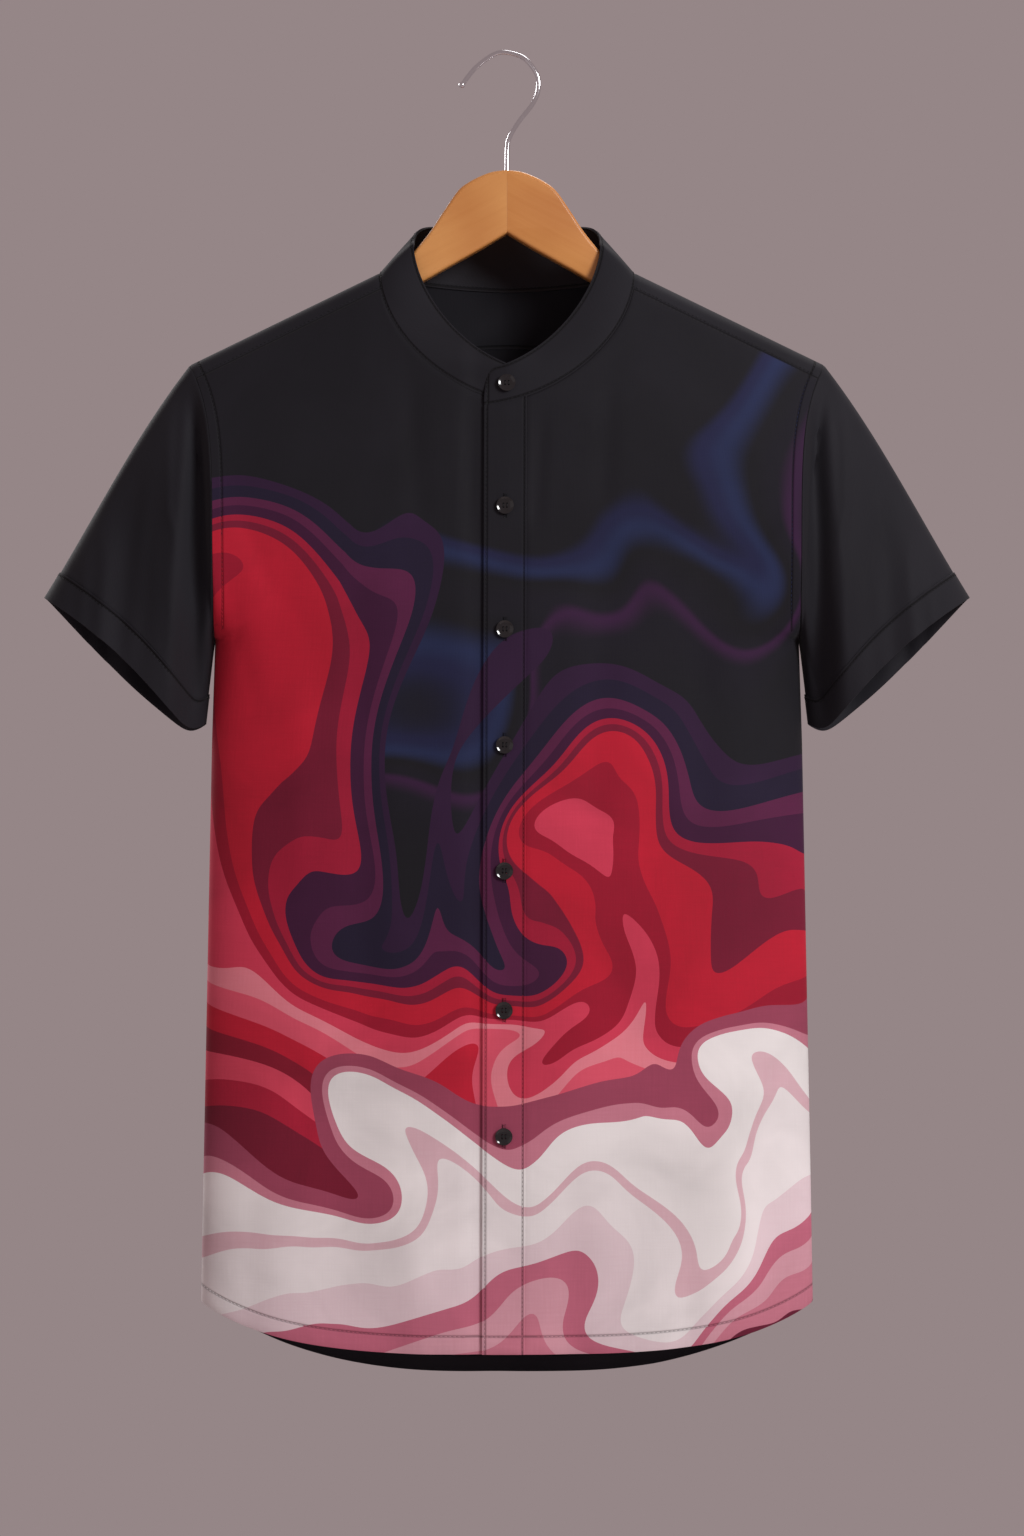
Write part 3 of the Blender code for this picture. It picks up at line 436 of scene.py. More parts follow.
    def armhole_z(self, angle: float) -> float:
        """Height of the armhole seam: 0 at the shoulder tip, 180 at the underarm."""
        return self.armhole_mid_z + self.armhole_half_height * math.cos(math.radians(angle))

    def armhole_x(self, angle: float) -> float:
        """X of the armhole seam."""
        return self.edge_x(self.armhole_z(angle))

    def armhole_angle(self, line: Callable[[float], float]) -> float:
        """Angle at which the armhole seam meets a panel's top line."""
        return solve(lambda angle: self.armhole_z(angle) - line(self.armhole_x(angle)), 1.0, 90.0)

    def armhole_point(self, angle: float) -> Vector:
        """Point of the armhole seam on the side of +X: 0 to 180 in front, then behind."""
        side = FRONT if angle <= 180.0 else BACK
        turn = min(angle, 360.0 - angle)
        return self.body_point(self.armhole_x(turn), self.armhole_z(turn), side)

    def placket_x(self, z: float) -> float:
        """Centre of the placket, which drifts a little to the wearer's right."""
        share = (z - self.front_hem[0]) / (self.neck_seam_z(0.0) - self.front_hem[0])
        return self.placket_top_x + self.placket_drift * (1.0 - share)

    def spread_x(self, spread: float, z: float) -> float:
        """X of a column that stands the given share of the way out to the side."""
        return spread * self.side_x(z) + self.side_flare(z) * spread ** self.column_flare_power

    def spread_at(self, x: float, z: float) -> float:
        """Share of the way out to the side at a point."""
        return solve(lambda spread: x - self.spread_x(spread, z), 0.0, 1.0)


FORM = ShirtForm()


# ---------- Finishes ----------


Tree = bpy.types.NodeTree
# What feeds an input: an output, or a node for its first output
Feed = bpy.types.NodeSocket | bpy.types.Node
# Inputs and output of a Mix node that mixes colours
MIX_SHARE, MIX_LOW, MIX_HIGH, MIX_RESULT = 0, 6, 7, 2


def linear(code: str) -> tuple[float, float, float, float]:
    """Turn an sRGB hex colour into Blender's linear one.

    Args:
        code: Colour such as "#aa3355".

    Returns:
        Red, green, blue and alpha.
    """
    parts = []
    for start in (1, 3, 5):
        value = int(code[start:start + 2], 16) / 255.0
        parts.append(value / 12.92 if value <= 0.04045 else ((value + 0.055) / 1.055) ** 2.4)
    return parts[0], parts[1], parts[2], 1.0


def fill_inputs(tree: Tree, node: bpy.types.Node, inputs: dict) -> None:
    """Give a node's inputs their values, or link the outputs that feed them.

    Args:
        tree: Material's node tree.
        node: The node.
        inputs: For each input, by name or index, a value or what feeds it.
    """
    for key, value in inputs.items():
        if isinstance(value, bpy.types.Node):
            value = value.outputs[0]
        if isinstance(value, bpy.types.NodeSocket):
            tree.links.new(value, node.inputs[key])
        else:
            node.inputs[key].default_value = value


def add_node(tree: Tree, kind: str, inputs: dict | None = None,
             stops: Sequence[tuple[float, str]] = (), **settings) -> bpy.types.Node:
    """Add a shader node with its settings, socket values and links.

    Args:
        tree: Material's node tree.
        kind: Blender's name for the node's type, after "ShaderNode".
        inputs: Values and feeds for fill_inputs.
        stops: Places and hex colours of a ramp.
        settings: Properties of the node.

    Returns:
        The new node.
    """
    made = tree.nodes.new(f"ShaderNode{kind}")
    for name, value in settings.items():
        setattr(made, name, value)
    for index, (place, code) in enumerate(stops):
        elements = made.color_ramp.elements
        element = elements[index] if index < 2 else elements.new(place)
        element.position = place
        element.color = linear(code)
    fill_inputs(tree, made, inputs or {})
    return made


class Finish:
    """A material: the subclass names it and lays its nodes."""

    name: str

    def make(self) -> bpy.types.Material:
        """Make the material, or give back the one made before."""
        known = bpy.data.materials.get(self.name)
        if known:
            return known
        material = bpy.data.materials.new(self.name)
        material.use_nodes = True
        tree = material.node_tree
        tree.nodes.clear()
        shader = add_node(tree, "BsdfPrincipled")
        add_node(tree, "OutputMaterial", {"Surface": shader})
        fill_inputs(tree, shader, self.lay_nodes(tree))
        return material

    def lay_nodes(self, tree: Tree) -> dict:
        """Lay the finish's nodes, and give back the shader's inputs."""
        raise NotImplementedError


@dataclass(frozen=True)
class Poplin(Finish):
    """Cotton poplin, plain woven from fine combed yarn and piece-dyed black.

    To the eye it is matt with a faint bloom at glancing angles, with slubs along both threads
    and a shallow groove under each line of topstitching, whose colour is darkened by painted shade.
    """

    name: str = "cotton_poplin_black"
    colour: str = "#1b1a20"
    light: str = "#222127"
    # Real threads lie 0.2 mm apart, too fine to show, so slubs 1.6 mm wide stand for them
    slub_width: float = 1.6
    slub_length: float = 22.0
    groove_width: float = 0.8
    # Painted shade: the colour is darkened along each seam and stitch line, as if the fold lay in
    # shadow
    seam_shade: float = 0.7
    roughness: float = 0.82
    roughness_spread: float = 0.07
    sheen: float = 0.05
    weave_shade: float = 0.10
    # Rise of the seam allowances, and how far to each side of the seam it runs out
    allowance_rise: float = 0.6

    def lay_nodes(self, tree: Tree) -> dict:
        """Lay the dyed colour, the weave, the stitching's grooves and the painted shade along them.
        """
        cut = add_node(tree, "UVMap", uv_map="cut")
        weave = self.weave(tree, cut)
        groove, height = self.seams(tree)
        colour = self.colour_of(tree, cut)
        shaded = add_node(tree, "Mix", {
            MIX_SHARE: self.weave_shade, MIX_LOW: colour, MIX_HIGH: weave},
            data_type="RGBA", blend_type="OVERLAY").outputs[MIX_RESULT]
        # Painted shade: the base colour is darkened along the seam and stitch grooves
        painted_seam_shade = add_node(tree, "MapRange", {
            "Value": groove, "To Min": 1.0, "To Max": 1.0 - self.seam_shade})
        painted_shade_colour = add_node(tree, "VectorMath", {0: shaded, "Scale": painted_seam_shade},
                        operation="SCALE")
        rough = add_node(tree, "MapRange", {
            "Value": weave, "To Min": self.roughness - self.roughness_spread,
            "To Max": self.roughness + self.roughness_spread})
        relief = add_node(tree, "Bump", {
            "Strength": 0.45, "Distance": 0.00025, "Height": weave})
        seams = add_node(tree, "Bump", {
            "Strength": 0.9, "Distance": 0.0006, "Height": height,
            "Normal": relief})
        return {"Base Color": painted_shade_colour, "Roughness": rough, "Normal": seams,
                "IOR": 1.45, "Specular IOR Level": 0.25, "Sheen Weight": self.sheen,
                "Sheen Roughness": 0.45}

    def colour_of(self, tree: Tree, cut: Feed) -> Feed:
        """Dyed colour with the slight cloudiness that a dye bath leaves.

        Args:
            tree: Material's node tree.
            cut: Place on the flat cut, in metres.

        Returns:
            The colour's output.
        """
        cloud = add_node(tree, "TexNoise", {
            "Vector": cut, "Scale": 14.0, "Detail": 2.0, "Roughness": 0.5})
        return add_node(tree, "ValToRGB", {"Fac": cloud},
                        stops=((0.3, self.colour), (0.7, self.light)))

    def weave(self, tree: Tree, cut: Feed) -> Feed:
        """Slubs along the warp and the weft.

        Args:
            tree: Material's node tree.
            cut: Place on the flat cut, in metres.

        Returns:
            The height, from 0 to 1.
        """
        across = 1.0 / (self.slub_width * MM)
        along = 1.0 / (self.slub_length * MM)
        threads = []
        for scale in ((across, along, 1.0), (along, across, 1.0)):
            place = add_node(tree, "Mapping", {"Vector": cut, "Scale": scale})
            threads.append(add_node(tree, "TexNoise", {
                "Vector": place, "Scale": 1.0, "Detail": 1.0}))
        return add_node(tree, "Math", {0: threads[0], 1: threads[1]},
                        operation="MULTIPLY")

    def seams(self, tree: Tree) -> tuple[Feed, Feed]:
        """Lay the grooves of the stitches and seams.

        Args:
            tree: Material's node tree.

        Returns:
            The grooves alone, and the cloth's height with them and the raised allowances.
        """
        seams = add_node(tree, "UVMap", uv_map="seams")
        parts = add_node(tree, "SeparateXYZ", {0: seams})
        grooves, heights = [], []
        for axis in (0, 1):
            away = add_node(tree, "Math", {
                0: parts.outputs[axis], 1: 1.0 / (self.groove_width * MM)},
                operation="MULTIPLY")
            square = add_node(tree, "Math", {0: away, 1: away},
                              operation="MULTIPLY")
            fall = add_node(tree, "Math", {0: square, 1: -1.0},
                            operation="MULTIPLY")
            grooves.append(add_node(tree, "Math", {0: fall},
                                    operation="EXPONENT"))
            raised = add_node(tree, "MapRange", {
                "Value": away, "From Min": self.allowance_rise,
                "From Max": -self.allowance_rise, "To Min": 0.0, "To Max": self.allowance_rise},
                interpolation_type="SMOOTHSTEP")
            heights.append(add_node(tree, "Math", {0: raised, 1: grooves[-1]},
                                    operation="SUBTRACT"))
        return tuple(add_node(tree, "Math", {0: first, 1: second},
                              operation=kind)
                     for (first, second), kind in ((grooves, "MAXIMUM"), (heights, "ADD")))


@dataclass(frozen=True)
class Swirl:
    """One turn of the marbler's stylus: its middle in metres, its reach and its turn."""

    u: float
    v: float
    reach: float
    turn: float


@dataclass(frozen=True)
class Bands:
    """One layer of flowing bands: its lie, its bending and its colours from low to high."""

    low: float
    high: float
    lean: float
    coarse: tuple[float, float]
    fine: tuple[float, float]
    seed: float
    stops: tuple[tuple[float, str], ...]
    swirls: tuple[Swirl, ...] = ()
    interpolation: str = "CONSTANT"


DARK_BANDS = Bands(
    low=-0.56, high=-0.22, lean=-0.75, coarse=(3.4, 0.24), fine=(7.0, 0.06), seed=7.9,
    interpolation="EASE",
    stops=((0.00, "#1b1a20"), (0.22, "#1d1b24"), (0.34, "#3a1f3f"), (0.40, "#1d1b24"),
           (0.52, "#1b1a20"), (0.64, "#262e50"), (0.71, "#232545"), (0.78, "#1b1a20")),
    swirls=(Swirl(0.10, -0.36, 0.10, 2.6), Swirl(-0.09, -0.42, 0.08, -2.4)),
)
HIGH_BANDS = Bands(
    low=-0.82, high=-0.42, lean=0.50, coarse=(3.1, 0.20), fine=(9.0, 0.05), seed=4.3,
    stops=((0.00, "#7c1c33"), (0.06, "#b3213c"), (0.13, "#dd4a62"), (0.19, "#8f1a31"),
           (0.24, "#c72038"), (0.31, "#e0596f"), (0.38, "#e88895"), (0.43, "#d5405a"),
           (0.50, "#a31832"), (0.56, "#c41f36"), (0.66, "#7d1a35"), (0.70, "#a81d3a"),
           (0.74, "#43193a"), (0.80, "#5c2246"), (0.845, "#241c33"), (0.90, "#331c3a"),
           (0.95, "#1b1a20")),
    swirls=(Swirl(-0.11, -0.47, 0.080, 3.0), Swirl(0.08, -0.58, 0.070, -2.8),
            Swirl(-0.03, -0.66, 0.060, 2.4), Swirl(0.165, -0.66, 0.060, 2.8)),
)
LOW_BANDS = Bands(
    low=-0.95, high=-0.66, lean=-0.12, coarse=(4.2, 0.13), fine=(11.0, 0.035), seed=11.7,
    stops=((0.00, "#8e1c38"), (0.10, "#a9223e"), (0.18, "#6f2038"), (0.24, "#cf7f92"),
           (0.30, "#dba3b0"), (0.36, "#c96f86"), (0.42, "#e9d5da"), (0.50, "#f2ecec"),
           (0.62, "#e3bfc7"), (0.66, "#f4f0ef"), (0.80, "#cf8496"), (0.84, "#a34a62")),
    swirls=(Swirl(-0.13, -0.73, 0.060, -2.6), Swirl(0.05, -0.80, 0.060, 2.5),
            Swirl(0.17, -0.71, 0.045, -2.2)),
)


@dataclass(frozen=True)
class PrintedPoplin(Poplin):
    """Black cotton poplin, printed by reactive ink: flowing marbled bands, soft in the dark.

    The ink sinks into the yarn, so the print keeps the cloth's matt face and weave. The design
    is a plain marbling made from noise, denser towards the hem.
    """

    name: str = "cotton_poplin_printed"
    ink_cloud: float = 0.16
    cover: float = 0.94

    def colour_of(self, tree: Tree, cut: Feed) -> Feed:
        """Three layers of bands, one over the other, on the black ground.

        Args:
            tree: Material's node tree.
            cut: Place on the flat cut, in metres.

        Returns:
            The colour's output.
        """
        both = None
        for bands in (DARK_BANDS, HIGH_BANDS, LOW_BANDS):
            height = self.band_height(tree, cut, bands)
            ramp = add_node(tree, "ValToRGB", {"Fac": height}, stops=bands.stops)
            ramp.color_ramp.interpolation = bands.interpolation
            if both is None:
                both = ramp
                continue
            covered = add_node(tree, "Math", {0: height, 1: self.cover},
                               operation="LESS_THAN")
            both = add_node(tree, "Mix", {
                MIX_SHARE: covered, MIX_LOW: both, MIX_HIGH: ramp},
                data_type="RGBA").outputs[MIX_RESULT]
        cloud = add_node(tree, "TexNoise", {
            "Vector": cut, "Scale": 11.0, "Detail": 3.0, "Distortion": 0.8})
        depth = add_node(tree, "MapRange", {
            "Value": cloud, "From Min": 0.3, "From Max": 0.7,
            "To Min": 1.0 - self.ink_cloud, "To Max": 1.0 + self.ink_cloud / 2.0})
        return add_node(tree, "VectorMath", {0: both, "Scale": depth},
                        operation="SCALE")

    def band_height(self, tree: Tree, cut: Feed, bands: Bands) -> Feed:
        """Height within a layer of bands, bent twice by noise.

        Args:
            tree: Material's node tree.
            cut: Place on the flat cut, in metres.
            bands: The layer.

        Returns:
            0 at the layer's lowest line, 1 at its highest.
        """
        place = cut
        for scale, reach in (bands.coarse, bands.fine):
            warp = add_node(tree, "TexNoise", {
                "Vector": place, "W": bands.seed, "Scale": scale, "Detail": 0.6},
                noise_dimensions="4D")
            centred = add_node(tree, "VectorMath", {
                0: warp.outputs["Color"], 1: (0.5, 0.5, 0.5)}, operation="SUBTRACT")
            shift = add_node(tree, "VectorMath", {
                0: centred, "Scale": reach * 2.0}, operation="SCALE")
            place = add_node(tree, "VectorMath", {
                0: place, 1: shift}, operation="ADD")
        for swirl in bands.swirls:
            middle = (swirl.u, swirl.v, 0.0)
            away = add_node(tree, "VectorMath", {0: place, 1: middle},
                            operation="DISTANCE").outputs["Value"]
            near = add_node(tree, "MapRange", {
                "Value": away, "From Min": swirl.reach * 2.0, "From Max": 0.0,
                "To Min": 0.0, "To Max": swirl.turn}, interpolation_type="SMOOTHERSTEP")
            place = add_node(tree, "VectorRotate", {
                "Vector": place, "Center": middle, "Angle": near},
                rotation_type="Z_AXIS")
        level = add_node(tree, "VectorMath", {
            0: place, 1: (bands.lean, 1.0, 0.0)}, operation="DOT_PRODUCT")
        return add_node(tree, "MapRange", {
            "Value": level.outputs["Value"], "From Min": bands.low, "From Max": bands.high}
        )


@dataclass(frozen=True)
class SewingThread(Finish):
    """Spun polyester thread, dyed black: a matt fibre with a small soft highlight."""

    name: str = "polyester_thread_black"
    colour: str = "#111013"
    light: str = "#1e1d21"

    def lay_nodes(self, tree: Tree) -> dict:
        """Lay the dyed fibre and its twist."""
        place = add_node(tree, "TexCoord").outputs["Object"]
        # Real plies turn every 0.5 mm, drawn here at 0.9 mm so that they show
        twist = add_node(tree, "TexNoise", {
            "Vector": place, "Scale": 1100.0, "Detail": 1.0})
        colour = add_node(tree, "ValToRGB", {"Fac": twist},
                          stops=((0.3, self.colour), (0.7, self.light)))
        relief = add_node(tree, "Bump", {
            "Strength": 0.4, "Distance": 0.0002, "Height": twist})
        return {"Base Color": colour, "Normal": relief,
                "Roughness": 0.7, "Specular IOR Level": 0.25}


@dataclass(frozen=True)
class PolyesterResin(Finish):
    """Cast polyester resin, turned and tumble-polished: jet black and glossy, faintly clouded."""

    name: str = "polyester_resin_black"
    colour: str = "#0c0b0d"
    light: str = "#151418"

    def lay_nodes(self, tree: Tree) -> dict:
        """Lay the clouded resin and its polishing marks."""
        place = add_node(tree, "TexCoord").outputs["Object"]
        cloud = add_node(tree, "TexNoise", {
            "Vector": place, "Scale": 420.0, "Detail": 3.0, "Distortion": 1.2})
        colour = add_node(tree, "ValToRGB", {"Fac": cloud},
                          stops=((0.4, self.colour), (0.75, self.light)))
        # Tumbling leaves scuffs about 0.5 mm long
        scuff = add_node(tree, "TexNoise", {
            "Vector": place, "Scale": 1900.0, "Detail": 2.0})
        rough = add_node(tree, "MapRange", {
            "Value": scuff, "To Min": 0.08, "To Max": 0.20})
        return {"Base Color": colour, "Roughness": rough,
                "IOR": 1.55, "Coat Weight": 0.4, "Coat Roughness": 0.08}


@dataclass(frozen=True)
class LacqueredBeech(Finish):
    """Steamed beech, sawn flat, sanded and sprayed with clear satin lacquer.

    It is honey brown, with faint grain along the arm and short darker flecks, and its lacquer
    gives a soft broad highlight that sharpens on the rounded edges.
    """

    name: str
    slope: float
    colours: tuple[str, str, str]
    # Beech grain lines are 1 to 3 mm apart, and its flecks are 2 to 4 mm long
    grain_spacing: float = 2.6
    grain_length: float = 70.0
    fleck_width: float = 0.5
    fleck_length: float = 3.2

    def lay_nodes(self, tree: Tree) -> dict:
        """Lay the grain, the flecks and the lacquer."""
        place = add_node(tree, "TexCoord").outputs["Object"]
        turned = add_node(tree, "Mapping", {
            "Vector": place, "Rotation": (0.0, math.atan(self.slope), 0.0)})
        layers = []
        for width, length in ((self.grain_spacing, self.grain_length),
                              (self.fleck_width, self.fleck_length)):
            fine, long = 1.0 / (width * MM), 1.0 / (length * MM)
            spread = add_node(tree, "Mapping", {
                "Vector": turned, "Scale": (long, fine * 0.6, fine)})
            layers.append(add_node(tree, "TexNoise", {
                "Vector": spread, "Scale": 1.0, "Detail": 3.0,
                "Distortion": 0.25}))
        patch = add_node(tree, "TexNoise", {
            "Vector": turned, "Scale": 16.0, "Detail": 1.5})
        dark, middle, light = self.colours
        wood = add_node(tree, "ValToRGB", {"Fac": layers[0]},
                        stops=((0.25, dark), (0.75, light)))
        broad = add_node(tree, "ValToRGB", {"Fac": patch},
                         stops=((0.35, dark), (0.62, middle)))
        mixed = add_node(tree, "Mix", {
            MIX_SHARE: 0.8, MIX_LOW: wood, MIX_HIGH: broad},
            data_type="RGBA").outputs[MIX_RESULT]
        fleck = add_node(tree, "MapRange", {
            "Value": layers[1], "From Min": 0.62, "From Max": 0.72, "To Min": 0.0, "To Max": 0.35})
        flecked = add_node(tree, "Mix", {
            MIX_SHARE: fleck, MIX_LOW: mixed, MIX_HIGH: linear(dark)},
            data_type="RGBA").outputs[MIX_RESULT]
        rough = add_node(tree, "MapRange", {
            "Value": layers[0], "To Min": 0.36, "To Max": 0.48})
        relief = add_node(tree, "Bump", {
            "Strength": 0.15, "Distance": 0.0002, "Height": layers[0]})
        return {"Base Color": flecked, "Roughness": rough,
                "Normal": relief,
                "IOR": 1.5, "Coat Weight": 0.35, "Coat Roughness": 0.18}


@dataclass(frozen=True)
class ChromedWire(Finish):
    """Drawn steel wire, bright chrome plated: a mirror with fine lengthwise die marks."""

    name: str = "chromed_steel_wire"
    colour: str = "#e4e3e6"

    def lay_nodes(self, tree: Tree) -> dict:
        """Lay the plating and its rub marks."""
        place = add_node(tree, "TexCoord").outputs["Object"]
        # Rub marks from rails, 2 to 4 mm long
        rub = add_node(tree, "TexNoise", {
            "Vector": place, "Scale": 320.0, "Detail": 3.0})
        rough = add_node(tree, "MapRange", {
            "Value": rub, "From Min": 0.3, "From Max": 0.7, "To Min": 0.10, "To Max": 0.17})
        return {"Base Color": linear(self.colour), "Roughness": rough,
                "Metallic": 1.0}


@dataclass(frozen=True)
class PaintedFloor(Finish):
    """Matt emulsion on a studio floor: plain and pale, with a faint roller mottle."""

    name: str = "matt_emulsion_floor"
    colour: str = "#b9abab"

    def lay_nodes(self, tree: Tree) -> dict:
        """Lay the paint and its mottle."""
        place = add_node(tree, "TexCoord").outputs["Object"]
        mottle = add_node(tree, "TexNoise", {
            "Vector": place, "Scale": 220.0, "Detail": 2.0})
        relief = add_node(tree, "Bump", {
            "Strength": 0.1, "Distance": 0.0005, "Height": mottle})
        return {"Base Color": linear(self.colour), "Roughness": 0.85,
                "Normal": relief}


BLACK_POPLIN = Poplin()
PRINTED_POPLIN = PrintedPoplin(seam_shade=0.5)
THREAD = SewingThread()
RESIN = PolyesterResin()
# The two arms are lit and shaded copies of one beech: the right arm's colours are painted lighter
# and the left arm's darker, as painted light and shade on the two halves
BEECH_RIGHT_ARM_PAINTED_LIGHT = LacqueredBeech(
    "lacquered_beech_right_arm_painted_light", slope=0.52, colours=("#cb8544", "#dd9b57", "#e5a55f"))
BEECH_LEFT_ARM_PAINTED_SHADE = LacqueredBeech(
    "lacquered_beech_left_arm_painted_shade", slope=-0.52, colours=("#c47c3b", "#d7924d", "#e0a059"))
CHROME = ChromedWire()
FLOOR_PAINT = PaintedFloor()


# ---------- Cloth pieces ----------

# Distance from a seam that counts as none near
FAR = 60.0


@dataclass
class ClothPoint:
    """A point of a piece: its place, its place on the flat cut, and how far off stitching is."""

    place: Vector
    cut: tuple[float, float]
    seams: tuple[float, float] = (FAR, FAR)


Grid = list[list[ClothPoint]]
# Points of a line of stitches, each with the cloth's normal
StitchLine = list[tuple[Vector, Vector]]


def middle_of(grid: Grid) -> Vector:
    """Middle of a grid's points."""
    places = [point.place for row in grid for point in row]
    return sum(places, Vector()) / len(places)


def uv_layer(mesh_data: bmesh.types.BMesh, name: str) -> bmesh.types.BMLayerItem:
    """The mesh's UV map of that name, made when it's missing."""
    layers = mesh_data.loops.layers.uv
    return layers.get(name) or layers.new(name)


def add_object(name: str, content: bpy.types.ID) -> bpy.types.Object:
    """Make an object of a mesh, a curve, a light or a camera, and link it."""
    made = bpy.data.objects.new(name, content)
    bpy.context.scene.collection.objects.link(made)
    return made


def give_finish(shape: bpy.types.Object, finish: Finish) -> None:
    """Make a finish the object's only material."""
    shape.data.materials.clear()
    shape.data.materials.append(finish.make())


def deselect_all() -> None:
    """Leave nothing selected."""
    for shape in bpy.context.selected_objects:
        shape.select_set(False)


def make_active(shape: bpy.types.Object) -> None:
    """Select one object alone and make it the active one."""
    deselect_all()
    shape.select_set(True)
    bpy.context.view_layer.objects.active = shape


def apply_modifier(shape: bpy.types.Object, kind: str, **settings) -> None:
    """Add a modifier with its settings and apply it.

    Args:
        shape: The object.
        kind: Blender's name for the modifier's type.
        settings: Properties of the modifier.
    """
    make_active(shape)
    modifier = shape.modifiers.new(kind.lower(), kind)
    for name, value in settings.items():
        setattr(modifier, name, value)
    bpy.ops.object.modifier_apply(modifier=modifier.name)


def add_mesh(name: str, mesh_data: bmesh.types.BMesh, finish: Finish) -> bpy.types.Object:
    """Turn a bmesh in millimetres into a named object in metres.

    Args:
        name: Name of the piece.
        mesh_data: The mesh, which is freed.
        finish: The piece's material.

    Returns:
        The linked object.
    """
    bmesh.ops.scale(mesh_data, vec=Vector((MM,) * 3), verts=mesh_data.verts)
    mesh = bpy.data.meshes.new(name)
    mesh_data.to_mesh(mesh)
    mesh_data.free()
    mesh.materials.append(finish.make())
    return add_object(name, mesh)


def place_piece(shape: bpy.types.Object, slot: Slot, *nodes: str) -> bpy.types.Object:
    """Let a piece ride on the body and stand for its solids."""
    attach(shape, BODY)
    if nodes:
        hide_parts(*nodes)
    LOG.info("%s: %d faces", shape.name, len(shape.data.polygons))
    return shape


@dataclass
class Stitching:
    """Lines of lockstitch: short threads that dip into the cloth at both ends."""

    pitch: float = 3.0
    length: float = 2.3
    radius: float = 0.22
    sides: int = 5
    # Along the stitch, height over the cloth and share of the radius
    profile: tuple = ((-0.5, -0.30, 0.6), (-0.27, 0.10, 1.0), (0.27, 0.10, 1.0), (0.5, -0.30, 0.6))

    def sew(self, name: str, lines: Sequence[StitchLine], finish: Finish) -> bpy.types.Object:
        """Sew stitches along lines.

        Args:
            name: Name of the piece.
            lines: Each line's points and the cloth's normal at each.
            finish: The thread's material, or the print that covers it.

        Returns:
            One object with all the stitches.
        """
        mesh_data = bmesh.new()
        cut_layer, seam_layer = uv_layer(mesh_data, "cut"), uv_layer(mesh_data, "seams")
        for line in lines:
            for middle, run, normal in self.spaced(line):
                faces = self.add_stitch(mesh_data, middle, run, normal)
                for loop in (loop for face in faces for loop in face.loops):
                    loop[cut_layer].uv = (middle.x * MM, middle.z * MM)
                    loop[seam_layer].uv = (FAR * MM, FAR * MM)
        bmesh.ops.recalc_face_normals(mesh_data, faces=mesh_data.faces)
        shape = add_mesh(name, mesh_data, finish)
        shape.data.shade_smooth()
        return shape

    def spaced(self, line: StitchLine) -> list[tuple[Vector, Vector, Vector]]:
        """Middle, direction and normal of each stitch along a line."""
        stitches = []
        travelled, wanted = 0.0, self.pitch / 2.0
        for (start, normal), (end, _) in zip(line, line[1:]):
            span = (end - start).length
            while span > 1e-6 and travelled + span >= wanted:
                middle = start.lerp(end, (wanted - travelled) / span)
                stitches.append((middle, (end - start) / span, normal))
                wanted += self.pitch
            travelled += span
        return stitches

    def add_stitch(self, mesh_data: bmesh.types.BMesh, middle: Vector, run: Vector,
                   normal: Vector) -> list[bmesh.types.BMFace]:
        """Add one thread to the mesh and return its faces."""
        side = run.cross(normal).normalized()
        rings = []
        for along, height, share in self.profile:
            centre = middle + run * along * self.length + normal * height
            ring = []
            for step in range(self.sides):
                turned = 2.0 * math.pi * step / self.sides
                offset = side * math.cos(turned) + normal * math.sin(turned)
                ring.append(mesh_data.verts.new(centre + offset * self.radius * share))
            rings.append(ring)
        faces = [mesh_data.faces.new(rings[0]), mesh_data.faces.new(list(reversed(rings[-1])))]
        for left, right in zip(rings, rings[1:]):
            for step in range(self.sides):
                after = (step + 1) % self.sides
                faces.append(mesh_data.faces.new((left[step], left[after], right[after],
                                                  right[step])))
        return faces


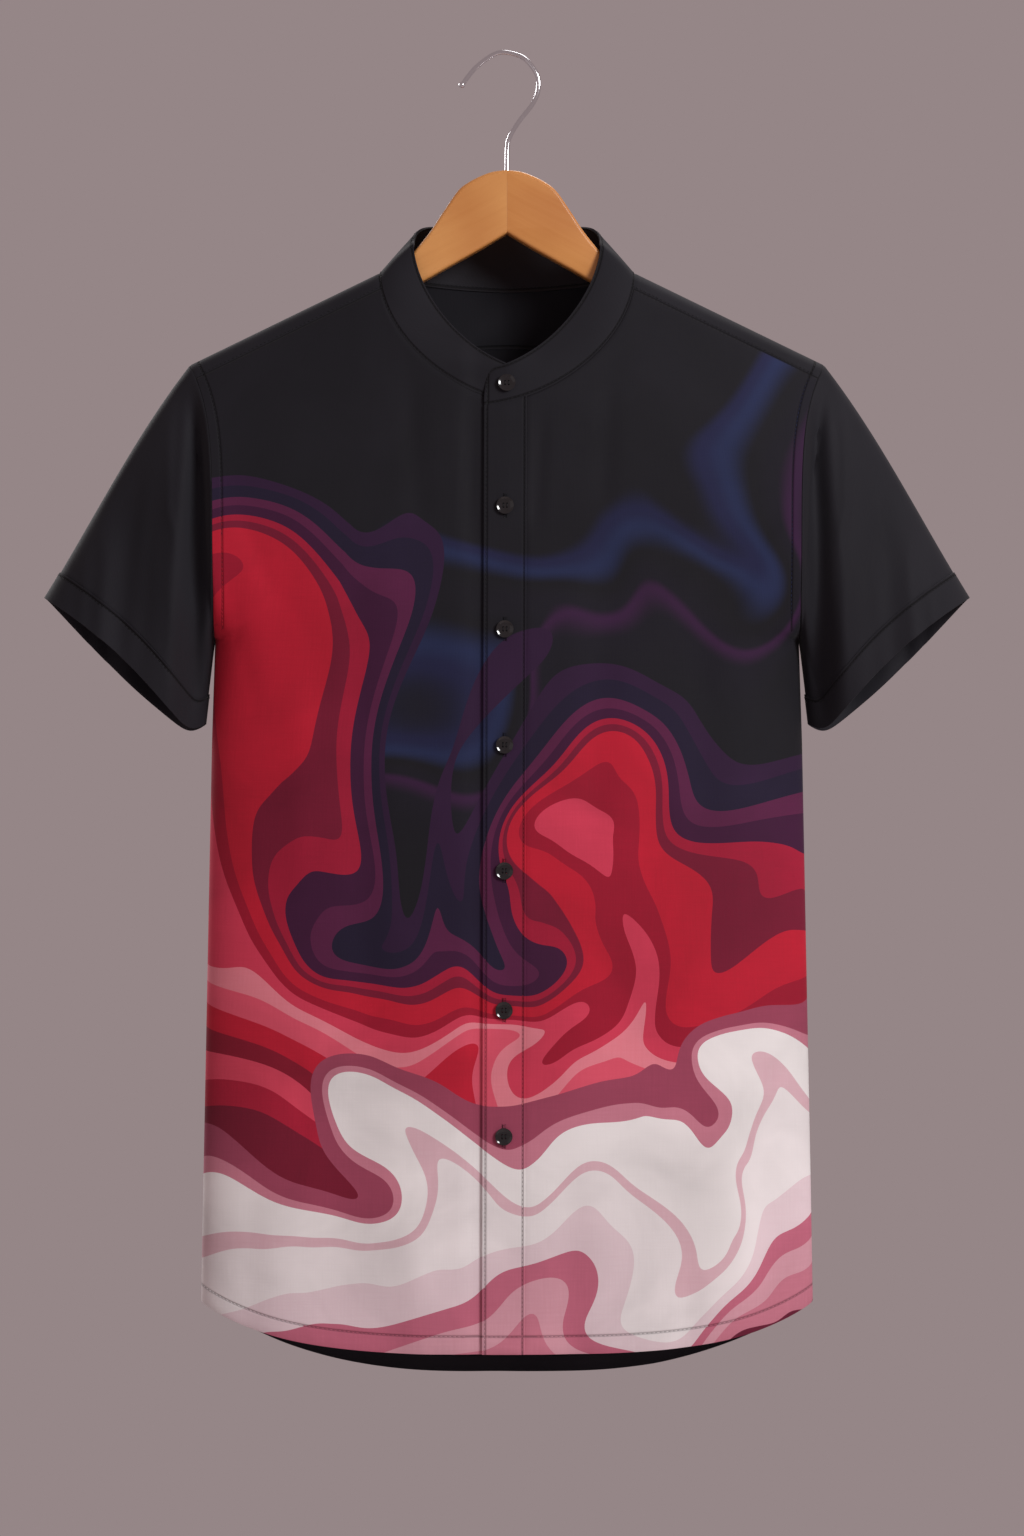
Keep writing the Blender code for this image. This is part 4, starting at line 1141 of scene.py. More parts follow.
@dataclass
class ClothPiece:
    """A cut piece of cloth: a thin wall over grids of points, rolled in at its edges."""

    node: str
    finish: Finish
    slot: Slot
    wall: float
    flat: tuple[float, float]
    area: float
    rests_on: tuple[str, ...]
    roll: float = 0.35
    merge: float = 0.004
    core_z: float = -420.0
    smooth_angle: float = 50.0

    @property
    def name(self) -> str:
        """Name of the dressed piece."""
        return f"{self.node}_cloth"

    def grids(self) -> list[Grid]:
        """Points of the outer face, in one or more grids."""
        raise NotImplementedError

    def core(self, grid: Grid) -> Vector:
        """A point that the outer face looks away from."""
        return Vector((0.0, 0.0, self.core_z))

    def stitch_lines(self) -> list[StitchLine]:
        """Lines of topstitching, with the cloth's normal at each point."""
        return []

    def build(self) -> bpy.types.Object:
        """Returns:
            The piece.
        """
        mesh_data = bmesh.new()
        for grid in self.grids():
            self.lay_grid(mesh_data, grid)
        bmesh.ops.remove_doubles(mesh_data, verts=mesh_data.verts, dist=self.merge)
        mesh_data.normal_update()
        for vert in mesh_data.verts:
            if vert.is_boundary:
                vert.co -= vert.normal * self.roll
        shown = sum(face.calc_area() for face in mesh_data.faces) * MM ** 2
        LOG.info("%s shows %.4f square metres of %.4f cut", self.name, shown, self.area)
        shape = add_mesh(self.name, mesh_data, self.finish)
        apply_modifier(shape, "SOLIDIFY", thickness=self.wall * MM, offset=-1.0)
        make_active(shape)
        bpy.ops.object.shade_smooth_by_angle(angle=math.radians(self.smooth_angle))
        place_piece(shape, self.slot, self.node)
        lines = self.stitch_lines()
        if lines:
            printed = isinstance(self.finish, PrintedPoplin)
            thread = Stitching().sew(f"{self.node}_topstitch", lines,
                                     self.finish if printed else THREAD)
            place_piece(thread, self.slot)
        return shape

    def lay_grid(self, mesh_data: bmesh.types.BMesh, grid: Grid) -> None:
        """Add one grid of points as quads that look away from the core."""
        cut_layer, seam_layer = uv_layer(mesh_data, "cut"), uv_layer(mesh_data, "seams")
        verts = [[mesh_data.verts.new(point.place) for point in row] for row in grid]
        quads = [((row, column), (row, column + 1), (row + 1, column + 1), (row + 1, column))
                 for row in range(len(grid) - 1) for column in range(len(grid[0]) - 1)]
        core, outlook = self.core(grid), 0.0
        for quad in quads:
            a, b, c, d = (grid[row][column].place for row, column in quad)
            outlook += (c - a).cross(d - b).dot((a + c) / 2.0 - core)
        for quad in quads:
            corners = quad if outlook >= 0.0 else tuple(reversed(quad))
            face = mesh_data.faces.new([verts[row][column] for row, column in corners])
            for loop, (row, column) in zip(face.loops, corners):
                point = grid[row][column]
                loop[cut_layer].uv = Vector(point.cut) * MM
                loop[seam_layer].uv = Vector(point.seams) * MM


def arc_cuts(places: Sequence[Vector], start: float, sign: float) -> list[float]:
    """Place of each point along a row of the flat cut.

    Args:
        places: Points of the row.
        start: Place of the first point.
        sign: Which way the row runs.

    Returns:
        The run of cloth from the first point, added to the start.
    """
    cuts = [start]
    for before, after in zip(places, places[1:]):
        cuts.append(cuts[-1] + sign * (after - before).length)
    return cuts


def crowded(share: float, start: float = 0.0, crowding: float = 0.85) -> float:
    """Spread of a column: closer together towards the side, where the cloth turns."""
    return mix(start, 1.0, mix(share, math.sin(math.pi / 2.0 * share), crowding))


@dataclass
class BodyPanel(ClothPiece):
    """A front or the back, with its armhole and hem topstitching."""

    columns: int = 64
    rows: int = 112
    near: float = 0.0017
    armhole_stitch: float = 6.5
    hem_stitch: float = 12.0
    # The armhole's stitching runs from this far under the shoulder to this far over the underarm
    stitch_drop: float = 13.0
    stitch_rise: float = 8.0
    # Over the underarm, the heights from which the edge is the armhole and has its stitching
    armhole_start: float = 0.01
    stitched_from: float = 4.0

    def row_shares(self, line: Callable[[float], float], hem: tuple) -> list[float]:
        """Shares of the rows from top to hem, with rows on both sides of the underarm."""
        top = FORM.armhole_z(FORM.armhole_angle(line))
        underarm = (top - FORM.underarm_z) / (top - FORM.hem_line(FORM.hem_half_width, hem))
        shares = [share for share in edged_shares(self.rows, self.near)
                  if abs(share - underarm) > self.near * 2.0]
        return sorted(shares + [underarm - self.near, underarm, underarm + self.near])

    def seams_at(self, x: float, z: float, hem: tuple) -> tuple[float, float]:
        """Signed distances from the armhole's stitching and from the hem's."""
        beside = FAR
        if z > FORM.underarm_z + self.stitched_from:
            beside = FORM.edge_x(z) - abs(x) - self.armhole_stitch
        return min(beside, FAR), min(z - FORM.hem_line(x, hem) - self.hem_stitch, FAR)

    def side_place(self, x: float, z: float, side: HangingSide) -> Vector:
        """Point of the panel's outer edge: the armhole above, the side seam below."""
        if z > FORM.underarm_z + self.armhole_start:
            return FORM.body_point(x - math.copysign(FORM.seam_gap / 2.0, x), z, side)
        return Vector((x, side.sign * FORM.seam_gap / 2.0, z))

    def armhole_line(self, sign: float, side: HangingSide) -> StitchLine:
        """Topstitching beside the armhole."""
        top = FORM.ridge_z(FORM.shoulder_tip_x - self.armhole_stitch) - self.stitch_drop
        return [FORM.stitch_point(sign * (FORM.edge_x(z) - self.armhole_stitch), z, side)
                for z in even_values(top, FORM.underarm_z + self.stitch_rise, spans=90)]

    def hem_run(self, start: float, end: float, side: HangingSide, hem: tuple) -> StitchLine:
        """Topstitching above the hem between two shares of the way out."""
        line = []
        for share in even_values(start, end, spans=140):
            x = FORM.hem_half_width * math.sin(math.pi / 2.0 * share)
            line.append(FORM.stitch_point(x, FORM.hem_line(x, hem) + self.hem_stitch, side))
        return line


@dataclass
class FrontPanel(BodyPanel):
    """One front, from the neck and the yoke seam to the hem."""

    sign: float = 1.0
    under_lap: float = 11.75
    neck_part: float = 9.0
    shoulder_part: float = 11.0
    lap_part: float = 2.0
    edge_near: float = 0.005
    # Share of the height by which the columns are evenly spread, and of the width by which
    # the inner edge draws them along
    even_from: float = 0.5
    drawn_to: float = 0.3
    # Shares of the hem's half width between which it is stitched
    hem_start_left: float = 0.06
    hem_start_right: float = -0.085
    hem_end: float = 0.93

    @property
    def left(self) -> bool:
        """Whether this is the wearer's left front."""
        return self.sign > 0.0

    @property
    def top_inner_x(self) -> float:
        """X of the left front's inner edge at the neck."""
        return FORM.placket_top_x + FORM.placket_half_width + FORM.seam_gap

    def column_top(self, share: float, corner: float) -> tuple[float, float, float]:
        """Find the top of a column.

        Args:
            share: Place of the column between the inner edge and the side.
            corner: Angle at which the yoke's front seam meets the collar's.

        Returns:
            X and height of the column's top, and its spread there.
        """
        lap = 0.0 if self.left else self.lap_part
        step = share * (lap + self.neck_part + self.shoulder_part) - lap
        if step < 0.0:
            x = self.under_lap * step / self.lap_part
            z = FORM.neck_seam_z(FORM.neck_seam_angle(x)) - FORM.seam_gap
        elif step <= self.neck_part:
            first = FORM.neck_seam_angle(self.top_inner_x) if self.left else 0.0
            angle = mix(first, corner, step / self.neck_part)
            x, z = FORM.neck_seam_x(angle), FORM.neck_seam_z(angle) - FORM.seam_gap
        else:
            start = FORM.spread_at(FORM.neck_seam_x(corner), FORM.neck_seam_z(corner))
            spread = crowded((step - self.neck_part) / self.shoulder_part, start)
            z = solve(lambda height: FORM.yoke_front_line(FORM.spread_x(spread, height)) - height,
                      FORM.underarm_z, 0.0)
            return FORM.spread_x(spread, z), z - FORM.seam_gap, spread
        return x, z, math.copysign(FORM.spread_at(abs(x), z), x)

    def grids(self) -> list[Grid]:
        """The front's one grid."""
        corner = solve(lambda angle: FORM.neck_seam_drop(angle) - FORM.yoke_front_drop, 45.0, 90.0)
        shares = edged_shares(self.columns, self.edge_near)
        tops = [self.column_top(share, corner) for share in shares]
        first = tops[0][0] / FORM.hem_half_width
        grid = []
        for down in self.row_shares(FORM.yoke_front_line, FORM.front_hem):
            places = []
            for index, (share, (_, top_z, top_spread)) in enumerate(zip(shares, tops)):
                even = crowded(share, first)
                spread = mix(top_spread, even, smooth_step(0.0, self.even_from, down))
                z = mix(top_z, FORM.hem_line(even * FORM.hem_half_width, FORM.front_hem), down)
                x = math.copysign(FORM.spread_x(abs(spread), z), spread)
                if index == 0:
                    shift = self.inner_edge(z) - x
                x += shift * smooth_step(self.drawn_to, 0.0, share)
                if share == 1.0:
                    places.append(self.side_place(x * self.sign, z, FRONT))
                else:
                    dip = 0.0 if self.left else FORM.lap_dip(-x)
                    places.append(FORM.body_point(x * self.sign, z, FRONT, dip))
            cuts = arc_cuts(places, places[0].x, self.sign)
            grid.append([ClothPoint(place, (cut, place.z),
                                    self.seams_at(place.x, place.z, FORM.front_hem))
                         for place, cut in zip(places, cuts)])
        return [grid]

    def seams_at(self, x: float, z: float, hem: tuple) -> tuple[float, float]:
        """Signed distances from the armhole's stitching and from the hem's or the top seam."""
        beside, above = super().seams_at(x, z, hem)
        out = min(abs(x), FORM.neck_half_width)
        top = min(FORM.yoke_front_line(abs(x)), FORM.neck_seam_z(FORM.neck_seam_angle(out)))
        return beside, min(above, max(top - z, 0.0))

    def inner_edge(self, z: float) -> float:
        """X of the inner edge, counted out to this front's own side."""
        if self.left:
            return FORM.placket_x(z) + FORM.placket_half_width + FORM.seam_gap
        return -FORM.placket_x(z) - self.under_lap

    def stitch_lines(self) -> list[StitchLine]:
        """Armhole and hem topstitching."""
        inner = self.hem_start_left if self.left else self.hem_start_right
        return [self.armhole_line(self.sign, FRONT),
                self.hem_run(inner, self.hem_end * self.sign, FRONT, FORM.front_hem)]


@dataclass
class BackPanel(BodyPanel):
    """The back, from the yoke seam to the back hem."""

    edge_near: float = 0.004
    hem_end: float = 0.93

    def grids(self) -> list[Grid]:
        """The back's one grid, from side to side."""
        half = edged_shares(self.columns, self.edge_near)
        shares = [-share for share in reversed(half[1:])] + half
        tops = []
        for share in shares:
            spread = crowded(abs(share))
            tops.append(solve(
                lambda height: FORM.yoke_back_line(FORM.spread_x(spread, height)) - height,
                FORM.underarm_z, 0.0) - FORM.seam_gap)
        grid = []
        for down in self.row_shares(FORM.yoke_back_line, FORM.back_hem):
            places = []
            for share, top_z in zip(shares, tops):
                spread = crowded(abs(share))
                z = mix(top_z, FORM.hem_line(spread * FORM.hem_half_width, FORM.back_hem), down)
                x = math.copysign(FORM.spread_x(spread, z), share)
                places.append(self.side_place(x, z, BACK) if abs(share) == 1.0
                              else FORM.body_point(x, z, BACK))
            cuts = arc_cuts(places, 0.0, 1.0)
            grid.append([ClothPoint(place, (cut - cuts[-1] / 2.0, place.z),
                                    self.seams_at(place.x, place.z, FORM.back_hem))
                         for place, cut in zip(places, cuts)])
        return [grid]

    def stitch_lines(self) -> list[StitchLine]:
        """Armhole and hem topstitching."""
        return [self.armhole_line(1.0, BACK), self.armhole_line(-1.0, BACK),
                self.hem_run(-self.hem_end, self.hem_end, BACK, FORM.back_hem)]


@dataclass
class Placket(ClothPiece):
    """The buttonhole band down the front edge, edge-stitched on both sides."""

    proud: float = 0.4
    edge_stitch: float = 1.8
    hem_stitch: float = 12.0
    end_gap: float = 2.0
    end_near: float = 0.0012
    edge_near: float = 0.03
    columns: int = 10
    rows: int = 130

    def top_z(self, x: float) -> float:
        """Height of the band's top edge, under the collar seam."""
        return FORM.neck_seam_z(FORM.neck_seam_angle(x)) - FORM.seam_gap

    def grids(self) -> list[Grid]:
        """The band's one grid."""
        half = FORM.placket_half_width
        grid = []
        for down in edged_shares(self.rows, self.end_near):
            row = []
            for share in edged_shares(self.columns, self.edge_near):
                across = mix(-half, half, share)
                z = mix(self.top_z(FORM.placket_top_x + across),
                        FORM.hem_line(across, FORM.front_hem), down)
                place = FORM.body_point(FORM.placket_x(z) + across, z, FRONT, -self.proud)
                beside = half - abs(across) - self.edge_stitch
                above = min(z - FORM.hem_line(across, FORM.front_hem) - self.hem_stitch, FAR)
                row.append(ClothPoint(place, (place.x, z), (beside, above)))
            grid.append(row)
        return [grid]

    def stitch_lines(self) -> list[StitchLine]:
        """Edge-stitching down both sides and across the hem."""
        lines = []
        reach = FORM.placket_half_width - self.edge_stitch
        for sign in (-1.0, 1.0):
            top, low = self.top_z(sign * reach) - self.end_gap, FORM.front_hem[0] + self.end_gap
            lines.append([FORM.stitch_point(FORM.placket_x(z) + sign * reach, z, FRONT, -self.proud)
                          for z in even_values(top, low, spans=220)])
        across = []
        for x in even_values(-reach, reach, spans=12):
            z = FORM.hem_line(x, FORM.front_hem) + self.hem_stitch
            across.append(FORM.stitch_point(x + FORM.placket_x(z), z, FRONT, -self.proud))
        return lines + [across]


@dataclass
class Yoke(ClothPiece):
    """One piece over both shoulders, from the front seams to the back seam."""

    shoulder_columns: int = 40
    neck_columns: int = 26
    front_rows: int = 8
    back_rows: int = 26
    edge_stitch: float = 1.6
    armhole_stitch: float = 6.5
    flare_power: int = 10
    tip_near: float = 0.008
    front_near: float = 0.08
    back_near: float = 0.04
    # Ends of the stitching: from and to across the front seams, and out to each side behind
    front_stitch: tuple[float, float] = (84.0, 207.0)
    back_stitch_x: float = 203.0
    # Drops over the shoulder at which the armhole's stitching starts and ends
    over_start: float = 0.6
    over_front: float = 12.0
    over_back: float = 34.0

    def ridge_point(self, x: float, drop: float) -> Vector:
        """Point near the ridge: in front for a drop below zero, behind for one above."""
        side = FRONT if drop < 0.0 else BACK
        return FORM.body_point(x, FORM.ridge_z(x) - abs(drop), side)

    def pulled_x(self, ridge_x: float, edge_x: float) -> float:
        """X of a column in a row whose armhole end stands at edge_x."""
        out = ridge_x / FORM.shoulder_tip_x
        return ridge_x - (FORM.shoulder_tip_x - edge_x) * out ** self.flare_power

    def shoulder_xs(self) -> list[float]:
        """X of the columns along the ridge, from the neck to the shoulder tip."""
        return [mix(FORM.neck_half_width, FORM.shoulder_tip_x, share)
                for share in edged_shares(self.shoulder_columns, self.tip_near)]

    def point(self, x: float, drop: float, sign: float, seam_away: float) -> ClothPoint:
        """Cloth point of the yoke with its place on the cut and its seam distances."""
        place = self.ridge_point(x * sign, drop)
        beside = FORM.edge_x(place.z) - x - self.armhole_stitch
        return ClothPoint(place, (x * sign, drop), (min(beside, FAR), min(seam_away, FAR)))

    def front_grid(self, sign: float) -> Grid:
        """Strip between the front seam and the ridge."""
        xs = self.shoulder_xs()
        corner = FORM.armhole_angle(FORM.yoke_front_line)
        deep = FORM.yoke_front_drop - FORM.seam_gap
        grid = []
        for step in edged_shares(self.front_rows, self.front_near):
            share = step ** 2
            end_angle = corner * step
            edge_x = FORM.armhole_x(end_angle) - FORM.seam_gap / 2.0
            row = []
            for index, ridge_x in enumerate(xs):
                drop = deep * share
                x = self.pulled_x(ridge_x, edge_x)
                if index == 0:
                    angle = solve(lambda value: FORM.neck_seam_drop(value) - drop, 60.0, 90.0)
                    x = FORM.neck_seam_x(angle if share > 0.0 else 90.0)
                elif index == len(xs) - 1:
                    x = edge_x
                    drop = max(FORM.ridge_z(x) - FORM.armhole_z(end_angle)
                               - FORM.seam_gap * share, 0.0)
                row.append(self.point(x, -drop, sign, deep - drop))
            grid.append(row)
        return grid

    def back_grid(self, sign: float) -> Grid:
        """Part behind the ridge and the neck, down to the back seam."""
        neck = [FORM.neck_half_width * math.sin(math.pi / 2.0 * index / self.neck_columns)
                for index in range(self.neck_columns)]
        xs = neck + self.shoulder_xs()
        corner = FORM.armhole_angle(FORM.yoke_back_line)
        grid = []
        for step in edged_shares(self.back_rows, self.back_near):
            share = step ** 2
            end_angle = corner * step
            edge_x = FORM.armhole_x(end_angle) - FORM.seam_gap / 2.0
            row = []
            for index, ridge_x in enumerate(xs):
                x = self.pulled_x(ridge_x, edge_x)
                end = FORM.ridge_z(x) - FORM.yoke_back_line(x)
                if index < self.neck_columns:
                    angle = 180.0 - math.degrees(math.asin(ridge_x / FORM.neck_half_width))
                    drop = mix(FORM.neck_seam_drop(angle), end, mix(share, step, 0.5))
                elif index == len(xs) - 1:
                    x = edge_x
                    drop = max(FORM.ridge_z(x) - FORM.armhole_z(end_angle), 0.0)
                    end = max(drop, FORM.ridge_z(x) - FORM.armhole_z(corner))
                else:
                    drop = end * share
                row.append(self.point(x, drop + 1e-9, sign, end - drop - self.edge_stitch))
            grid.append(row)
        return grid

    def grids(self) -> list[Grid]:
        """Front strips and back parts of both sides."""
        return [grid(sign) for sign in (1.0, -1.0) for grid in (self.front_grid, self.back_grid)]

    def stitch_lines(self) -> list[StitchLine]:
        """Stitching beside the front seams, the back seam and the armholes."""
        lines = []
        for sign in (1.0, -1.0):
            lines.append([
                FORM.stitch_point(sign * x, FORM.yoke_front_line(x) + self.edge_stitch, FRONT)
                for x in even_values(*self.front_stitch, spans=60)])
            top = FORM.ridge_z(FORM.shoulder_tip_x - self.armhole_stitch)
            for side, length in ((FRONT, self.over_front), (BACK, self.over_back)):
                over = []
                for drop in even_values(self.over_start, length, spans=30):
                    x = sign * (FORM.edge_x(top - drop) - self.armhole_stitch)
                    over.append(FORM.stitch_point(x, top - drop, side))
                lines.append(over)
        back = [FORM.stitch_point(x, FORM.yoke_back_line(x) + self.edge_stitch, BACK)
                for x in even_values(-self.back_stitch_x, self.back_stitch_x, spans=120)]
        return lines + [back]


@dataclass(frozen=True)
class SleeveForm:
    """The sleeve's hanging tube, from the armhole to the cuff's edge, on the side of +X."""

    tip: tuple[float, float] = (314.0, -369.5)
    inner: tuple[float, float] = (203.6, -453.0)
    half_depth: float = 37.0
    edge_fall: float = 15.5
    inner_lift: float = 13.0
    lift_angle: float = 20.0
    front_bow: float = -8.0
    back_bow: float = 4.5
    bulge: float = 5.0
    bulge_way: tuple[float, float, float] = (0.84, 0.0, 0.54)
    fold_fade_y: float = 20.0
    fold_fade_share: float = 0.1
    # Height and spans of the cloth's slight unevenness, and its plane in the noise
    unevenness: float = 0.6
    uneven_width: float = 30.0
    uneven_height: float = 38.0
    noise_plane: float = 9.0
    cuff_width: float = 20.0

    def opening_point(self, angle: float) -> Vector:
        """Point of the lower edge: 0 at its outer tip, 180 next to the body."""
        turned = math.radians(angle)
        tip = Vector((self.tip[0], 0.0, self.tip[1]))
        chord = Vector((self.inner[0], 0.0, self.inner[1])) - tip
        outward = Vector((-chord.z, 0.0, chord.x)).normalized()
        across = (1.0 - math.cos(turned)) / 2.0
        bow = self.front_bow if angle <= 180.0 else self.back_bow
        fall = (self.edge_fall * across + bow * math.sin(turned) ** 2
                - self.inner_lift * math.exp(-((angle - 180.0) / self.lift_angle) ** 2))
        depth = Vector((0.0, -self.half_depth * math.sin(turned), 0.0))
        return tip + chord * across + outward * fall + depth

    def length(self, angle: float) -> float:
        """Length of the sleeve at an angle round it."""
        return (self.opening_point(angle) - FORM.armhole_point(angle)).length

    def point(self, angle: float, share: float) -> Vector:
        """Point of the cloth, the given share of the way from the armhole to the edge."""
        angle %= 360.0
        place = FORM.armhole_point(angle).lerp(self.opening_point(angle), share)
        upper = max(math.cos(math.radians(angle)), 0.0)
        swell = self.bulge * upper * 4.0 * share * (1.0 - share) ** 2
        place += Vector(self.bulge_way) * swell
        depth = sum(crease.depth_at(place.x, place.z) for crease in SLEEVE_CREASES)
        depth += self.unevenness * noise.noise(Vector((
            place.x / self.uneven_width, math.copysign(self.noise_plane, place.y),
            place.z / self.uneven_height)))
        depth *= (smooth_step(0.0, self.fold_fade_share, share)
                  * min(abs(place.y) / self.fold_fade_y, 1.0))
        place.y -= math.copysign(depth, place.y)
        return place

    def normal(self, angle: float, share: float) -> Vector:
        """Direction out of the sleeve at a point."""
        around = self.point(angle + 1.5, share) - self.point(angle - 1.5, share)
        down = self.point(angle, share + 0.01) - self.point(angle, share - 0.01)
        out = around.cross(down).normalized()
        across = self.point(angle, share) - self.point(angle + 180.0, share)
        return out if out.dot(across) > 0.0 else -out

    def cuff_share(self, angle: float) -> float:
        """Share of the sleeve's length at which the cuff's seam runs."""
        return 1.0 - self.cuff_width / self.length(angle % 360.0)


SLEEVE = SleeveForm()


def mirror_to(sign: float, place: Vector) -> Vector:
    """The same place on the wearer's left for +1, on the right for -1."""
    return Vector((place.x * sign, place.y, place.z))


@dataclass
class SleeveTube(ClothPiece):
    """A sleeve or its cuff: a tube whose rows run round the arm."""

    sign: float = 1.0
    columns: int = 120
    rows: int = 44
    proud: float = 0.0
    end_near: float = 0.008

    def angles(self) -> list[float]:
        """Angles round the tube, from the underarm right round to it again."""
        return [180.0 + 360.0 * step / self.columns for step in range(self.columns + 1)]

    def ends(self, angle: float) -> tuple[float, float]:
        """Shares of the sleeve's length between which this tube runs."""
        gap = FORM.seam_gap / SLEEVE.length(angle % 360.0)
        return gap, SLEEVE.cuff_share(angle) - 0.5 * gap

    def seams_at(self, down: float, angle: float) -> tuple[float, float]:
        """Signed distances from the stitching and from the armhole's seam."""
        return FAR, down

    def core(self, grid: Grid) -> Vector:
        """The middle of the tube."""
        return middle_of(grid)

    def grids(self) -> list[Grid]:
        """The tube's one grid, closed by a last column on the first."""
        angles = self.angles()
        spans = [self.ends(angle) for angle in angles]
        grid = []
        for share in edged_shares(self.rows, self.end_near):
            places = []
            for angle, (start, end) in zip(angles, spans):
                down = mix(start, end, share)
                place = SLEEVE.point(angle, down)
                if self.proud:
                    place += SLEEVE.normal(angle, down) * self.proud
                places.append(mirror_to(self.sign, place))
            places[-1] = places[0].copy()
            cuts = arc_cuts(places, 0.0, 1.0)
            grid.append([
                ClothPoint(place, (cut, -mix(*span, share) * SLEEVE.length(angle % 360.0)),
                           self.seams_at(share * (span[1] - span[0])
                                         * SLEEVE.length(angle % 360.0), angle))
                for place, cut, span, angle in zip(places, cuts, spans, angles)])
        return [grid]


@dataclass
class Cuff(SleeveTube):
    """The turned-up band at a sleeve's edge, stitched along its top."""

    rows: int = 10
    proud: float = 0.7
    edge_stitch: float = 1.8
    lap: float = 0.5

    def ends(self, angle: float) -> tuple[float, float]:
        """Shares of the sleeve's length between which the band runs, lapped on the sleeve."""
        return SLEEVE.cuff_share(angle) - self.lap / SLEEVE.length(angle % 360.0), 1.0

    def seams_at(self, down: float, angle: float) -> tuple[float, float]:
        """Signed distance from the stitching along the band's top."""
        return FAR, down - self.edge_stitch

    def stitch_lines(self) -> list[StitchLine]:
        """Stitching right round the band's top edge."""
        line = []
        for step in range(181):
            angle = 2.0 * step
            down = SLEEVE.cuff_share(angle) + self.edge_stitch / SLEEVE.length(angle % 360.0)
            normal = SLEEVE.normal(angle, down)
            place = SLEEVE.point(angle, down) + normal * self.proud
            line.append((mirror_to(self.sign, place), mirror_to(self.sign, normal)))
        return [line]


@dataclass
class Collar(ClothPiece):
    """The stand-up band: one strip round the neck whose left end laps over the right one."""

    top_half_width: float = 63.5
    top_z: float = -127.0
    top_fall: float = 60.0
    top_fall_power: float = 1.05
    top_crossing: float = 26.0
    top_back_rise: float = 14.0
    top_back_power: float = 3.8
    top_depth: float = 36.0
    top_fullness: float = 0.6
    side_depth: float = 16.0
    side_fullness: float = 0.25
    point_depth: float = 28.0
    point_rounding: float = 0.14
    bulge: float = 1.5
    tab_angle: float = -10.0
    tab_end_x: float = -14.6
    tab_corner: float = 8.0
    tab_straight_share: float = 0.62
    under_end_angle: float = 368.0
    edge_stitch: float = 1.7
    # Where the edge-stitching turns down the tab, ends under it and shows inside the neck
    stitch_tab_share: float = 0.86
    stitch_end_angle: float = 352.0
    inner_stitch_angle: float = 100.0
    tab_stitch_rises: tuple[float, float] = (0.09, 0.9)
    thread_gap: float = 0.1
    tuck: float = 0.035
    # The tuck grows between these angles, from the shoulder to just behind it
    tuck_angles: tuple[float, float] = (70.0, 100.0)
    edge_near: float = 0.03
    tab_columns: int = 14
    columns: int = 150
    rows: int = 12

    def band_top(self, angle: float) -> Vector:
        """Top edge of the band on the side of +X."""
        turned = math.radians(angle)
        cosine = math.cos(turned)
        x = self.top_half_width * math.sin(turned)
        if angle <= 90.0:
            z = (self.top_z - self.top_fall * max(cosine, 0.0) ** self.top_fall_power
                 - self.top_crossing * (1.0 - math.sin(turned)))
        else:
            short = (1.0 - abs(cosine)) ** self.top_back_power
            z = self.top_z + self.top_back_rise * (1.0 - short)
        if angle < 0.0:
            end_x = self.top_half_width * math.sin(math.radians(self.tab_angle))
            x += (self.tab_end_x - end_x) * smooth_step(0.0, self.tab_angle, angle)
        if angle <= 90.0:
            away = math.hypot(math.sin(turned), self.point_rounding)
            depth = (self.side_depth * max(cosine, 0.0) ** self.side_fullness
                     + self.point_depth * max(1.0 - away, 0.0))
        else:
            depth = -self.top_depth * abs(cosine) ** self.top_fullness
        return Vector((x, -depth, z))

    def band_foot(self, angle: float) -> Vector:
        """Lower edge of the band, on the seam, on the side of +X."""
        side = FRONT if angle <= 90.0 else BACK
        return FORM.body_point(FORM.neck_seam_x(angle), FORM.neck_seam_z(angle), side)

    def edges(self, angle: float) -> tuple[Vector, Vector]:
        """Foot and top of the band at an angle from the tab round to the end under it."""
        over = angle <= 180.0
        turn = angle if over else 360.0 - angle
        foot, top = self.band_foot(turn), self.band_top(turn)
        foot = foot.lerp(top, FORM.seam_gap / (top - foot).length)
        if over and turn < 0.0:
            run = (self.tab_end_x + self.tab_corner - top.x) / self.tab_corner
            if run > 0.0:
                top = foot.lerp(top, mix(self.tab_straight_share, 1.0,
                                         math.sqrt(max(1.0 - min(run, 1.0) ** 2, 0.0))))
        return foot, top

    def point(self, angle: float, rise: float) -> Vector:
        """Point of the band, the given share of the way up it."""
        foot, top = self.edges(angle)
        place = foot.lerp(top, rise)
        outward = Vector((place.x, place.y * 2.0, 0.0)).normalized()
        place += outward * self.bulge * math.sin(math.pi * rise)
        if angle > 180.0:
            place.x = -place.x
            if angle > 270.0:
                place.y += FORM.lap_dip(place.x)
        return place

    def normal(self, angle: float, rise: float) -> Vector:
        """Direction out of the band at a point."""
        around = self.point(angle + 0.4, rise) - self.point(angle - 0.4, rise)
        up = self.point(angle, min(rise + 0.05, 1.0)) - self.point(angle, max(rise - 0.05, 0.0))
        out = around.cross(up).normalized()
        place = self.point(angle, rise)
        return out if out.dot(Vector((place.x, place.y * 2.0, 0.0))) > 0.0 else -out

    def stitch_point(self, angle: float, rise: float) -> tuple[Vector, Vector]:
        """Point of a stitched line and the band's normal there."""
        return self.point(angle, rise), self.normal(angle, rise)

    def core(self, grid: Grid) -> Vector:
        """The middle of the neck."""
        return middle_of(grid)

    def tuck_at(self, angle: float) -> float:
        """Share of the band's height by which its foot runs on under the yoke's edge."""
        return self.tuck * smooth_step(*self.tuck_angles, min(angle, 360.0 - angle))

